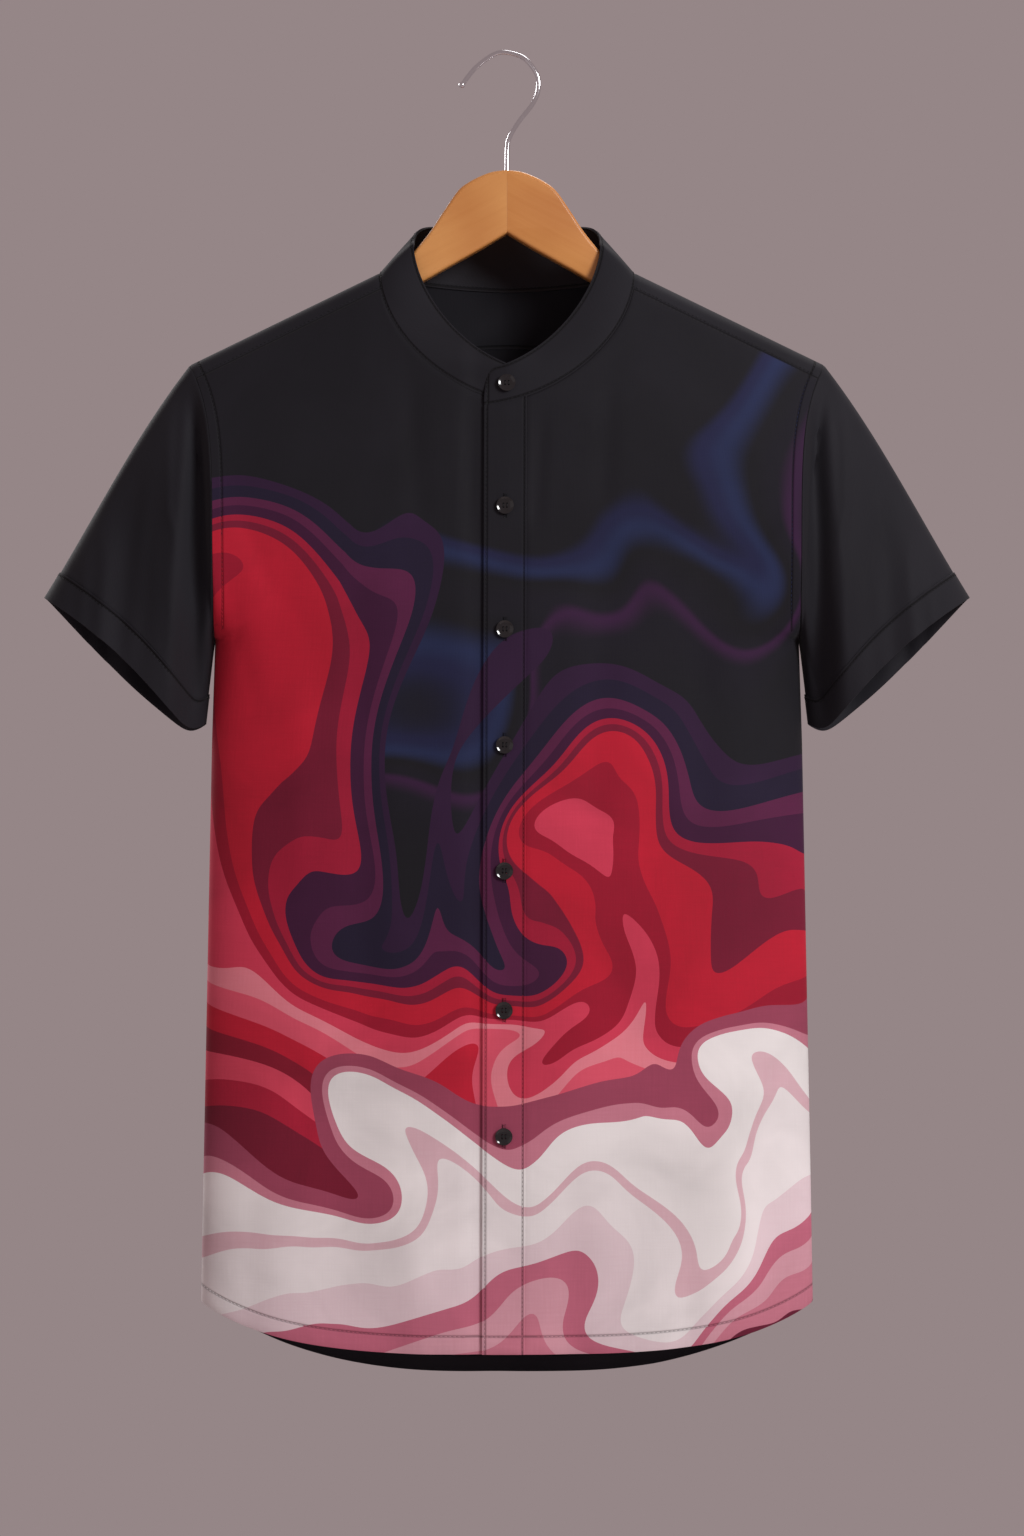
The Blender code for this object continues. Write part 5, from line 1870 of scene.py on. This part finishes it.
    def angles(self) -> list[float]:
        """Angles along the band, closer together in the tab."""
        tab = [self.tab_angle * (1.0 - step / self.tab_columns)
               for step in range(self.tab_columns)]
        return tab + [self.under_end_angle * step / self.columns
                      for step in range(self.columns + 1)]

    def grids(self) -> list[Grid]:
        """The band's one grid, from foot to top."""
        angles = self.angles()
        lengths = [(top - foot).length for foot, top in map(self.edges, angles)]
        grid = []
        for rise in edged_shares(self.rows, self.edge_near):
            places = [self.point(angle, rise - self.tuck_at(angle) * (1.0 - rise))
                      for angle in angles]
            cuts = arc_cuts(places, 0.0, 1.0)
            row = []
            for angle, length, place, cut in zip(angles, lengths, places, cuts):
                beside = place.x - self.tab_end_x - self.edge_stitch if angle < 0.0 else FAR
                near = min(rise, 1.0 - rise) * length - self.edge_stitch
                row.append(ClothPoint(place, (cut, rise * length), (beside, near)))
            grid.append(row)
        return [grid]

    def stitch_lines(self) -> list[StitchLine]:
        """Edge-stitching round the band, and its back inside the neck."""
        low, high, inside = [], [], []
        end = self.tab_angle * self.stitch_tab_share
        for angle in even_values(end, self.stitch_end_angle, spans=240):
            foot, top = self.edges(angle)
            rise = self.edge_stitch / (top - foot).length
            place, normal = self.stitch_point(angle, rise)
            low.append((place, normal))
            high.append(self.stitch_point(angle, 1.0 - rise))
            if self.inner_stitch_angle < angle < 360.0 - self.inner_stitch_angle:
                inside.append((place - normal * (self.wall + self.thread_gap), -normal))
        tab = [self.stitch_point(end, rise)
               for rise in even_values(*self.tab_stitch_rises, spans=12)]
        return [low, high, tab, inside]


# ---------- Buttons ----------


@dataclass
class Buttons:
    """Seven dished four-hole buttons, with their threads and the placket's buttonholes."""

    collar: Collar
    placket: Placket
    heights: tuple[float, ...] = (-226.9, -309.3, -391.9, -469.3, -553.5, -646.9, -731.6)
    radius: float = 6.0
    thickness: float = 2.2
    foot_share: float = 0.77
    rim: float = 1.25
    dish: float = 0.65
    well_inset: float = 0.9
    well_depth: float = 0.3
    edge_radius: float = 0.5
    bevel_angle: float = 25.0
    smooth_angle: float = 40.0
    drill_length: float = 8.0
    # Steps up and down over which the cloth's slope under a button is taken
    rise_step: float = 0.1
    height_step: float = 4.0
    lift: float = 0.15
    hole_radius: float = 0.62
    hole_offset: float = 1.15
    hole_length: float = 17.0
    hole_half_width: float = 0.35
    thread_reach: float = 0.95
    zigzags: int = 44
    # Share of a buttonhole's half length at which its end starts to narrow
    end_start: float = 0.47
    thread_radius: float = 0.15
    thread_height: float = 0.12
    # Half length of a bar of thread, and how deep it lies under the dish's face
    bar_half_length: float = 1.3
    bar_sink: float = 0.2

    def seat(self, z: float) -> Matrix:
        """Find where a button sits.

        Args:
            z: Height of the button's middle.

        Returns:
            Turn and place, in millimetres, with +Z out of the cloth.
        """
        x = FORM.placket_x(z)
        low = FORM.neck_seam_z(0.0)
        if z > low:
            rise = (z - low) / (self.collar.band_top(0.0).z - low)
            place = self.collar.point(0.0, rise)
            up = (self.collar.point(0.0, rise + self.rise_step)
                  - self.collar.point(0.0, rise - self.rise_step))
            lift = self.lift
        else:
            place = FORM.body_point(x, z, FRONT)
            up = (FORM.body_point(x, z + self.height_step, FRONT)
                  - FORM.body_point(x, z - self.height_step, FRONT))
            lift = self.placket.proud + self.lift
        up.normalize()
        outward = Vector((1.0, 0.0, 0.0)).cross(up).normalized()
        turn = Matrix((Vector((1.0, 0.0, 0.0)), up, outward)).transposed().to_4x4()
        return Matrix.Translation(place + outward * lift) @ turn

    def model(self) -> bpy.types.Object:
        """Turn one button on the origin, in metres: foot, rounded rim, dish and four holes."""
        deselect_all()
        bpy.ops.mesh.primitive_cylinder_add(
            vertices=48, radius=self.radius * MM, depth=self.thickness * MM,
            location=(0.0, 0.0, self.thickness * MM / 2.0))
        button = bpy.context.active_object
        bpy.ops.object.transform_apply(location=True, rotation=True, scale=True)
        bpy.ops.object.mode_set(mode="EDIT")
        self.select_face(button, -1.0)
        bpy.ops.transform.resize(value=(self.foot_share, self.foot_share, 1.0))
        self.select_face(button, 1.0)
        bpy.ops.mesh.inset(thickness=self.rim * MM)
        bpy.ops.transform.translate(value=(0.0, 0.0, -self.dish * MM))
        bpy.ops.mesh.inset(thickness=self.well_inset * MM)
        bpy.ops.transform.translate(value=(0.0, 0.0, -self.well_depth * MM))
        bpy.ops.object.mode_set(mode="OBJECT")
        apply_modifier(button, "BEVEL", width=self.edge_radius * MM, segments=4,
                       limit_method="ANGLE", angle_limit=math.radians(self.bevel_angle))
        drills = []
        for x, y in ((1.0, 1.0), (1.0, -1.0), (-1.0, 1.0), (-1.0, -1.0)):
            bpy.ops.mesh.primitive_cylinder_add(
                vertices=14, radius=self.hole_radius * MM, depth=self.drill_length * MM,
                location=(x * self.hole_offset * MM, y * self.hole_offset * MM, 0.0))
            drills.append(bpy.context.active_object)
        for drill in drills:
            apply_modifier(button, "BOOLEAN", operation="DIFFERENCE", object=drill,
                           solver="EXACT")
            bpy.data.objects.remove(drill, do_unlink=True)
        make_active(button)
        bpy.ops.object.shade_smooth_by_angle(angle=math.radians(self.smooth_angle))
        give_finish(button, RESIN)
        return button

    def select_face(self, shape: bpy.types.Object, way: float) -> None:
        """Select the widest face that looks up for +1 or down for -1."""
        edit = bmesh.from_edit_mesh(shape.data)
        for face in edit.faces:
            face.select_set(False)
        flat = [face for face in edit.faces if face.normal.z * way > 0.9]
        max(flat, key=lambda face: face.calc_area()).select_set(True)
        edit.select_flush_mode()
        bmesh.update_edit_mesh(shape.data)

    def threads(self) -> list[StitchLine]:
        """Two bars of thread over each button, between its holes."""
        lines = []
        for z in self.heights:
            seat = self.seat(z)
            outward = seat.to_3x3() @ Vector((0.0, 0.0, 1.0))
            for x in (-self.hole_offset, self.hole_offset):
                height = self.thickness - self.dish - self.bar_sink
                lines.append([(seat @ Vector((x, y, height)), outward)
                              for y in (-self.bar_half_length, self.bar_half_length)])
        return lines

    def buttonhole(self, z: float) -> list[Vector]:
        """Zigzag of satin stitches round a slit in the placket, closed at its ends."""
        straight = self.hole_length - 2.0 * self.thread_reach
        route = []
        for step in range(self.zigzags * 2):
            along = step / (self.zigzags * 2) * 2.0
            sign = 1.0 if along < 1.0 else -1.0
            run = mix(-0.5, 0.5, along % 1.0) * sign
            end = max(abs(run) - self.end_start, 0.0) / (0.5 - self.end_start)
            out = self.hole_half_width + (self.thread_reach if step % 2 else 0.0)
            x = FORM.placket_x(z) + sign * out * math.sqrt(max(1.0 - end * end, 0.0))
            height = z + run * (straight if step % 2 == 0 else self.hole_length)
            route.append(FORM.body_point(x, height, FRONT,
                                         -self.placket.proud - self.thread_height))
        return route

    def build(self) -> None:
        """Make the buttons, their threads and the buttonholes."""
        button = self.model()
        for number, z in enumerate(self.heights, start=1):
            copied = add_object(f"button_{number}_resin", button.data.copy())
            seat = self.seat(z)
            seat.translation *= MM
            copied.data.transform(seat)
            place_piece(copied, Slot.BUTTON_RESIN, f"button_{number}")
        bpy.data.objects.remove(button, do_unlink=True)
        bars = Stitching(pitch=2.6, length=2.9, radius=0.42).sew(
            "button_threads", self.threads(), THREAD)
        place_piece(bars, Slot.BUTTON_RESIN)
        curve = bpy.data.curves.new("buttonholes", "CURVE")
        curve.dimensions = "3D"
        curve.bevel_depth = self.thread_radius * MM
        curve.bevel_resolution = 0
        for z in self.heights[1:]:
            lay_route(curve, self.buttonhole(z), cyclic=True)
        place_piece(curve_to_mesh("buttonholes", curve, THREAD), Slot.BUTTON_RESIN)


def lay_route(curve: bpy.types.Curve, route: Sequence[Vector], cyclic: bool = False) -> None:
    """Add a run of straight spans, given in millimetres, to a curve in metres."""
    spline = curve.splines.new("POLY")
    spline.points.add(len(route) - 1)
    for point, place in zip(spline.points, route):
        point.co = (*(place * MM), 1.0)
    spline.use_cyclic_u = cyclic


def curve_to_mesh(name: str, curve: bpy.types.Curve, finish: Finish) -> bpy.types.Object:
    """Make a mesh piece of a curve with a bevel.

    Args:
        name: Name of the piece.
        curve: The curve.
        finish: The piece's material.

    Returns:
        The mesh object.
    """
    make_active(add_object(name, curve))
    bpy.ops.object.convert(target="MESH")
    shape = bpy.context.active_object
    give_finish(shape, finish)
    return shape


# ---------- Hanger ----------


def smooth_run(points: Sequence[tuple[float, float]], steps: int) -> list[tuple[float, float]]:
    """Run a smooth line through points of a plane.

    Args:
        points: Places in the plane.
        steps: Spans between one point and the next.

    Returns:
        Places along the line, the given points among them.
    """
    knots = [Vector(point) for point in points]
    knots = [knots[0] * 2.0 - knots[1], *knots, knots[-1] * 2.0 - knots[-2]]
    run = []
    for before, start, end, after in zip(knots, knots[1:], knots[2:], knots[3:]):
        for step in range(steps):
            t = step / steps
            place = 0.5 * (2.0 * start + (end - before) * t
                           + (2.0 * before - 5.0 * start + 4.0 * end - after) * t ** 2
                           + (3.0 * start - before - 3.0 * end + after) * t ** 3)
            run.append((place.x, place.y))
    run.append(tuple(points[-1]))
    return run


@dataclass
class Hanger:
    """The flat wooden bar, glued from two arms at the middle, and its wire hook."""

    sections: tuple = (
        # x, top_z, bottom_z, half_thickness
        (0.0, -79.0, -121.7, 7.0),
        (9.0, -79.9, -127.2, 7.0),
        (17.0, -82.6, -132.0, 7.0),
        (26.0, -87.2, -137.1, 7.0),
        (33.5, -93.2, -141.3, 7.0),
        (43.5, -107.5, -146.9, 7.0),
        (52.0, -120.5, -151.8, 7.0),
        (62.0, -133.0, -157.5, 6.8),
        (74.0, -146.4, -165.4, 6.6),
        (88.0, -155.8, -174.0, 6.6),
        (104.0, -161.6, -183.0, 6.6),
        (130.0, -171.45, -195.6, 6.6),
        (160.0, -186.05, -210.4, 6.4),
        (185.0, -198.2, -221.6, 6.0),
        (199.0, -205.6, -226.8, 5.2),
        (206.0, -211.8, -226.0, 3.4),
    )
    edge_radius: float = 2.4
    joint_gap: float = 0.05
    bar_smooth_angle: float = 35.0
    wire_radius: float = 1.65
    tip_radius: float = 2.3
    wire_smooth_angle: float = 50.0
    hook_points: tuple = (
        # x, z of the wire's centre line
        (-30.6, -20.4),
        (-25.6, -13.6),
        (-19.9, -7.4),
        (-9.5, 0.0),
        (-0.8, 1.65),
        (11.4, -2.2),
        (20.0, -12.6),
        (21.4, -23.0),
        (17.4, -33.3),
        (7.9, -45.6),
        (1.8, -56.0),
        (0.3, -64.0),
        (0.0, -86.0),
    )

    def outline(self) -> list[Vector]:
        """Front view outline of the whole bar, laid flat, in millimetres."""
        right = [(x, top) for x, top, _, _ in self.sections]
        whole = [(-x, z) for x, z in reversed(right[1:])] + right
        top = smooth_run(whole, steps=10)
        low = [(x, bottom) for x, _, bottom, _ in self.sections]
        bottom = smooth_run(low, steps=6)
        under = list(reversed(bottom)) + [(-x, z) for x, z in bottom[1:]]
        return [Vector((x, z, 0.0)) for x, z in top + under]

    def build_bar(self) -> list[bpy.types.Object]:
        """Saw, taper and round the bar, and part it at the glue joint.

        Returns:
            The two arms.
        """
        thickest = self.sections[0][3]
        curve = bpy.data.curves.new("bar", "CURVE")
        curve.dimensions = "2D"
        curve.fill_mode = "BOTH"
        curve.extrude = (thickest - self.edge_radius) * MM
        curve.bevel_depth = self.edge_radius * MM
        curve.bevel_resolution = 4
        curve.offset = -self.edge_radius * MM
        lay_route(curve, self.outline(), cyclic=True)
        bar = curve_to_mesh("bar", curve, BEECH_LEFT_ARM_PAINTED_SHADE)
        bar.data.transform(Matrix.Rotation(math.pi / 2.0, 4, "X"))
        mesh_data = bmesh.new()
        mesh_data.from_mesh(bar.data)
        bmesh.ops.remove_doubles(mesh_data, verts=mesh_data.verts, dist=1e-6)
        for vert in mesh_data.verts:
            half = table_value(self.sections, abs(vert.co.x) / MM, 3)
            vert.co.y *= half / thickest
        bmesh.ops.recalc_face_normals(mesh_data, faces=mesh_data.faces)
        mesh_data.to_mesh(bar.data)
        mesh_data.free()
        arms = []
        # Each arm takes its copy of the beech: painted light on the right arm, painted shade on the
        # left arm
        for name, sign, finish in (("arm_left_beech", 1.0, BEECH_LEFT_ARM_PAINTED_SHADE),
                                   ("arm_right_beech", -1.0, BEECH_RIGHT_ARM_PAINTED_LIGHT)):
            arm = add_object(name, bar.data.copy())
            make_active(arm)
            bpy.ops.object.mode_set(mode="EDIT")
            bpy.ops.mesh.select_all(action="SELECT")
            bpy.ops.mesh.bisect(plane_co=(sign * self.joint_gap * MM / 2.0, 0.0, 0.0),
                                plane_no=(sign, 0.0, 0.0), use_fill=True, clear_inner=True)
            bpy.ops.mesh.select_all(action="SELECT")
            bpy.ops.mesh.normals_make_consistent(inside=False)
            bpy.ops.object.mode_set(mode="OBJECT")
            bpy.ops.object.shade_smooth_by_angle(angle=math.radians(self.bar_smooth_angle))
            give_finish(arm, finish)
            arms.append(place_piece(arm, Slot.HANGER_WOOD, "hanger_bar"))
        bpy.data.objects.remove(bar, do_unlink=True)
        return arms

    def build_hook(self) -> bpy.types.Object:
        """Bend the wire and set the small ball on its free end."""
        curve = bpy.data.curves.new("wire", "CURVE")
        curve.dimensions = "3D"
        curve.bevel_depth = self.wire_radius * MM
        curve.bevel_resolution = 5
        curve.use_fill_caps = True
        route = [Vector((x, 0.0, z)) for x, z in smooth_run(self.hook_points, steps=8)]
        lay_route(curve, route)
        hook = curve_to_mesh("hook_wire", curve, CHROME)
        deselect_all()
        bpy.ops.mesh.primitive_uv_sphere_add(segments=24, ring_count=14,
                                             radius=self.tip_radius * MM,
                                             location=route[0] * MM)
        ball = bpy.context.active_object
        give_finish(ball, CHROME)
        hook.select_set(True)
        bpy.context.view_layer.objects.active = hook
        bpy.ops.object.join()
        bpy.ops.object.shade_smooth_by_angle(angle=math.radians(self.wire_smooth_angle))
        return place_piece(hook, Slot.HOOK_STEEL, "hanger_hook")


# ---------- Studio ----------


@dataclass
class Studio:
    """Plain pale floor, soft light from the upper right, and the camera in front."""

    floor_z: float = -1.5
    floor_radius: float = 2.0
    backdrop: str = "#958687"
    target: tuple = (0.0, 0.0, -0.45)
    lights: tuple = (
        # name, place, size, watts
        ("key_light", (1.9, -2.1, 0.75), 1.1, 62.0),
        ("fill_light", (-1.6, -2.4, -0.2), 2.0, 1.5),
        ("top_light", (0.5, 1.0, 1.4), 1.0, 14.0),
        ("back_light", (-1.9, 2.1, 0.75), 1.1, 36.0),
    )
    camera_place: tuple = (0.0034, -2.901, -0.4848)
    lens: float = 100.0
    sensor: float = 36.0

    def build(self) -> None:
        """Set the floor, the lights, the world and the camera."""
        deselect_all()
        bpy.ops.mesh.primitive_circle_add(vertices=128, radius=self.floor_radius,
                                          fill_type="NGON", location=(0.0, 0.0, self.floor_z))
        floor = bpy.context.active_object
        floor.name = "floor"
        floor.data.materials.append(FLOOR_PAINT.make())
        for name, place, size, watts in self.lights:
            light = bpy.data.lights.new(name, "AREA")
            light.shape = "DISK"
            light.size = size
            light.energy = watts
            lamp = add_object(name, light)
            lamp.location = place
            lamp.rotation_euler = (Vector(self.target) - Vector(place)).to_track_quat(
                "-Z", "Y").to_euler()
        world = bpy.data.worlds.new("studio")
        world.use_nodes = True
        world.node_tree.nodes["Background"].inputs["Color"].default_value = linear(self.backdrop)
        bpy.context.scene.world = world
        bpy.context.scene.view_settings.view_transform = "Standard"
        lens = bpy.data.cameras.new("camera")
        lens.lens = self.lens
        lens.sensor_fit = "VERTICAL"
        lens.sensor_height = self.sensor
        camera = add_object("camera", lens)
        camera.location = self.camera_place
        camera.rotation_euler = (math.pi / 2.0, 0.0, 0.0)
        bpy.context.scene.camera = camera


def main() -> None:
    """Build every piece in order."""
    logging.basicConfig(level=logging.INFO, format="%(message)s")
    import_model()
    deselect_all()
    hanger = Hanger()
    arms = tuple(arm.name for arm in hanger.build_bar())
    hanger.build_hook()
    plain = {"finish": BLACK_POPLIN, "slot": Slot.PLAIN_CLOTH}
    printed = {"finish": PRINTED_POPLIN, "slot": Slot.PRINTED_CLOTH}
    yoke = Yoke("yoke", wall=1.2, flat=(0.45, 0.12), area=0.0303, rests_on=arms, **plain)
    held = (yoke.name,)
    back = BackPanel("back", wall=1.2, flat=(0.44, 0.72), area=0.2887, rests_on=held, **plain)
    left = FrontPanel("front_left", wall=1.2, flat=(0.215, 0.72), area=0.1354, rests_on=held,
                      sign=1.0, **printed)
    right = FrontPanel("front_right", wall=1.2, flat=(0.24, 0.72), area=0.1498, rests_on=held,
                       sign=-1.0, **printed)
    placket = Placket("placket", wall=1.4, flat=(0.0287, 0.645), area=0.0184,
                      rests_on=(left.name,), **printed)
    collar = Collar("collar", wall=1.6, flat=(0.45, 0.038), area=0.0166, rests_on=held, **plain)
    pieces = [yoke, back, left, right, placket, collar]
    for side, sign in (("left", 1.0), ("right", -1.0)):
        sleeve = SleeveTube(f"sleeve_{side}", wall=1.2, flat=(0.41, 0.15), area=0.0372,
                            rests_on=(*held, back.name), sign=sign, **plain)
        pieces.append(sleeve)
        pieces.append(Cuff(f"cuff_{side}", wall=1.4, flat=(0.345, 0.0207), area=0.0071,
                           rests_on=(sleeve.name,), sign=sign, **plain))
    for piece in pieces:
        piece.build()
    Buttons(collar, placket).build()
    Studio().build()


if __name__ == "__main__":
    main()
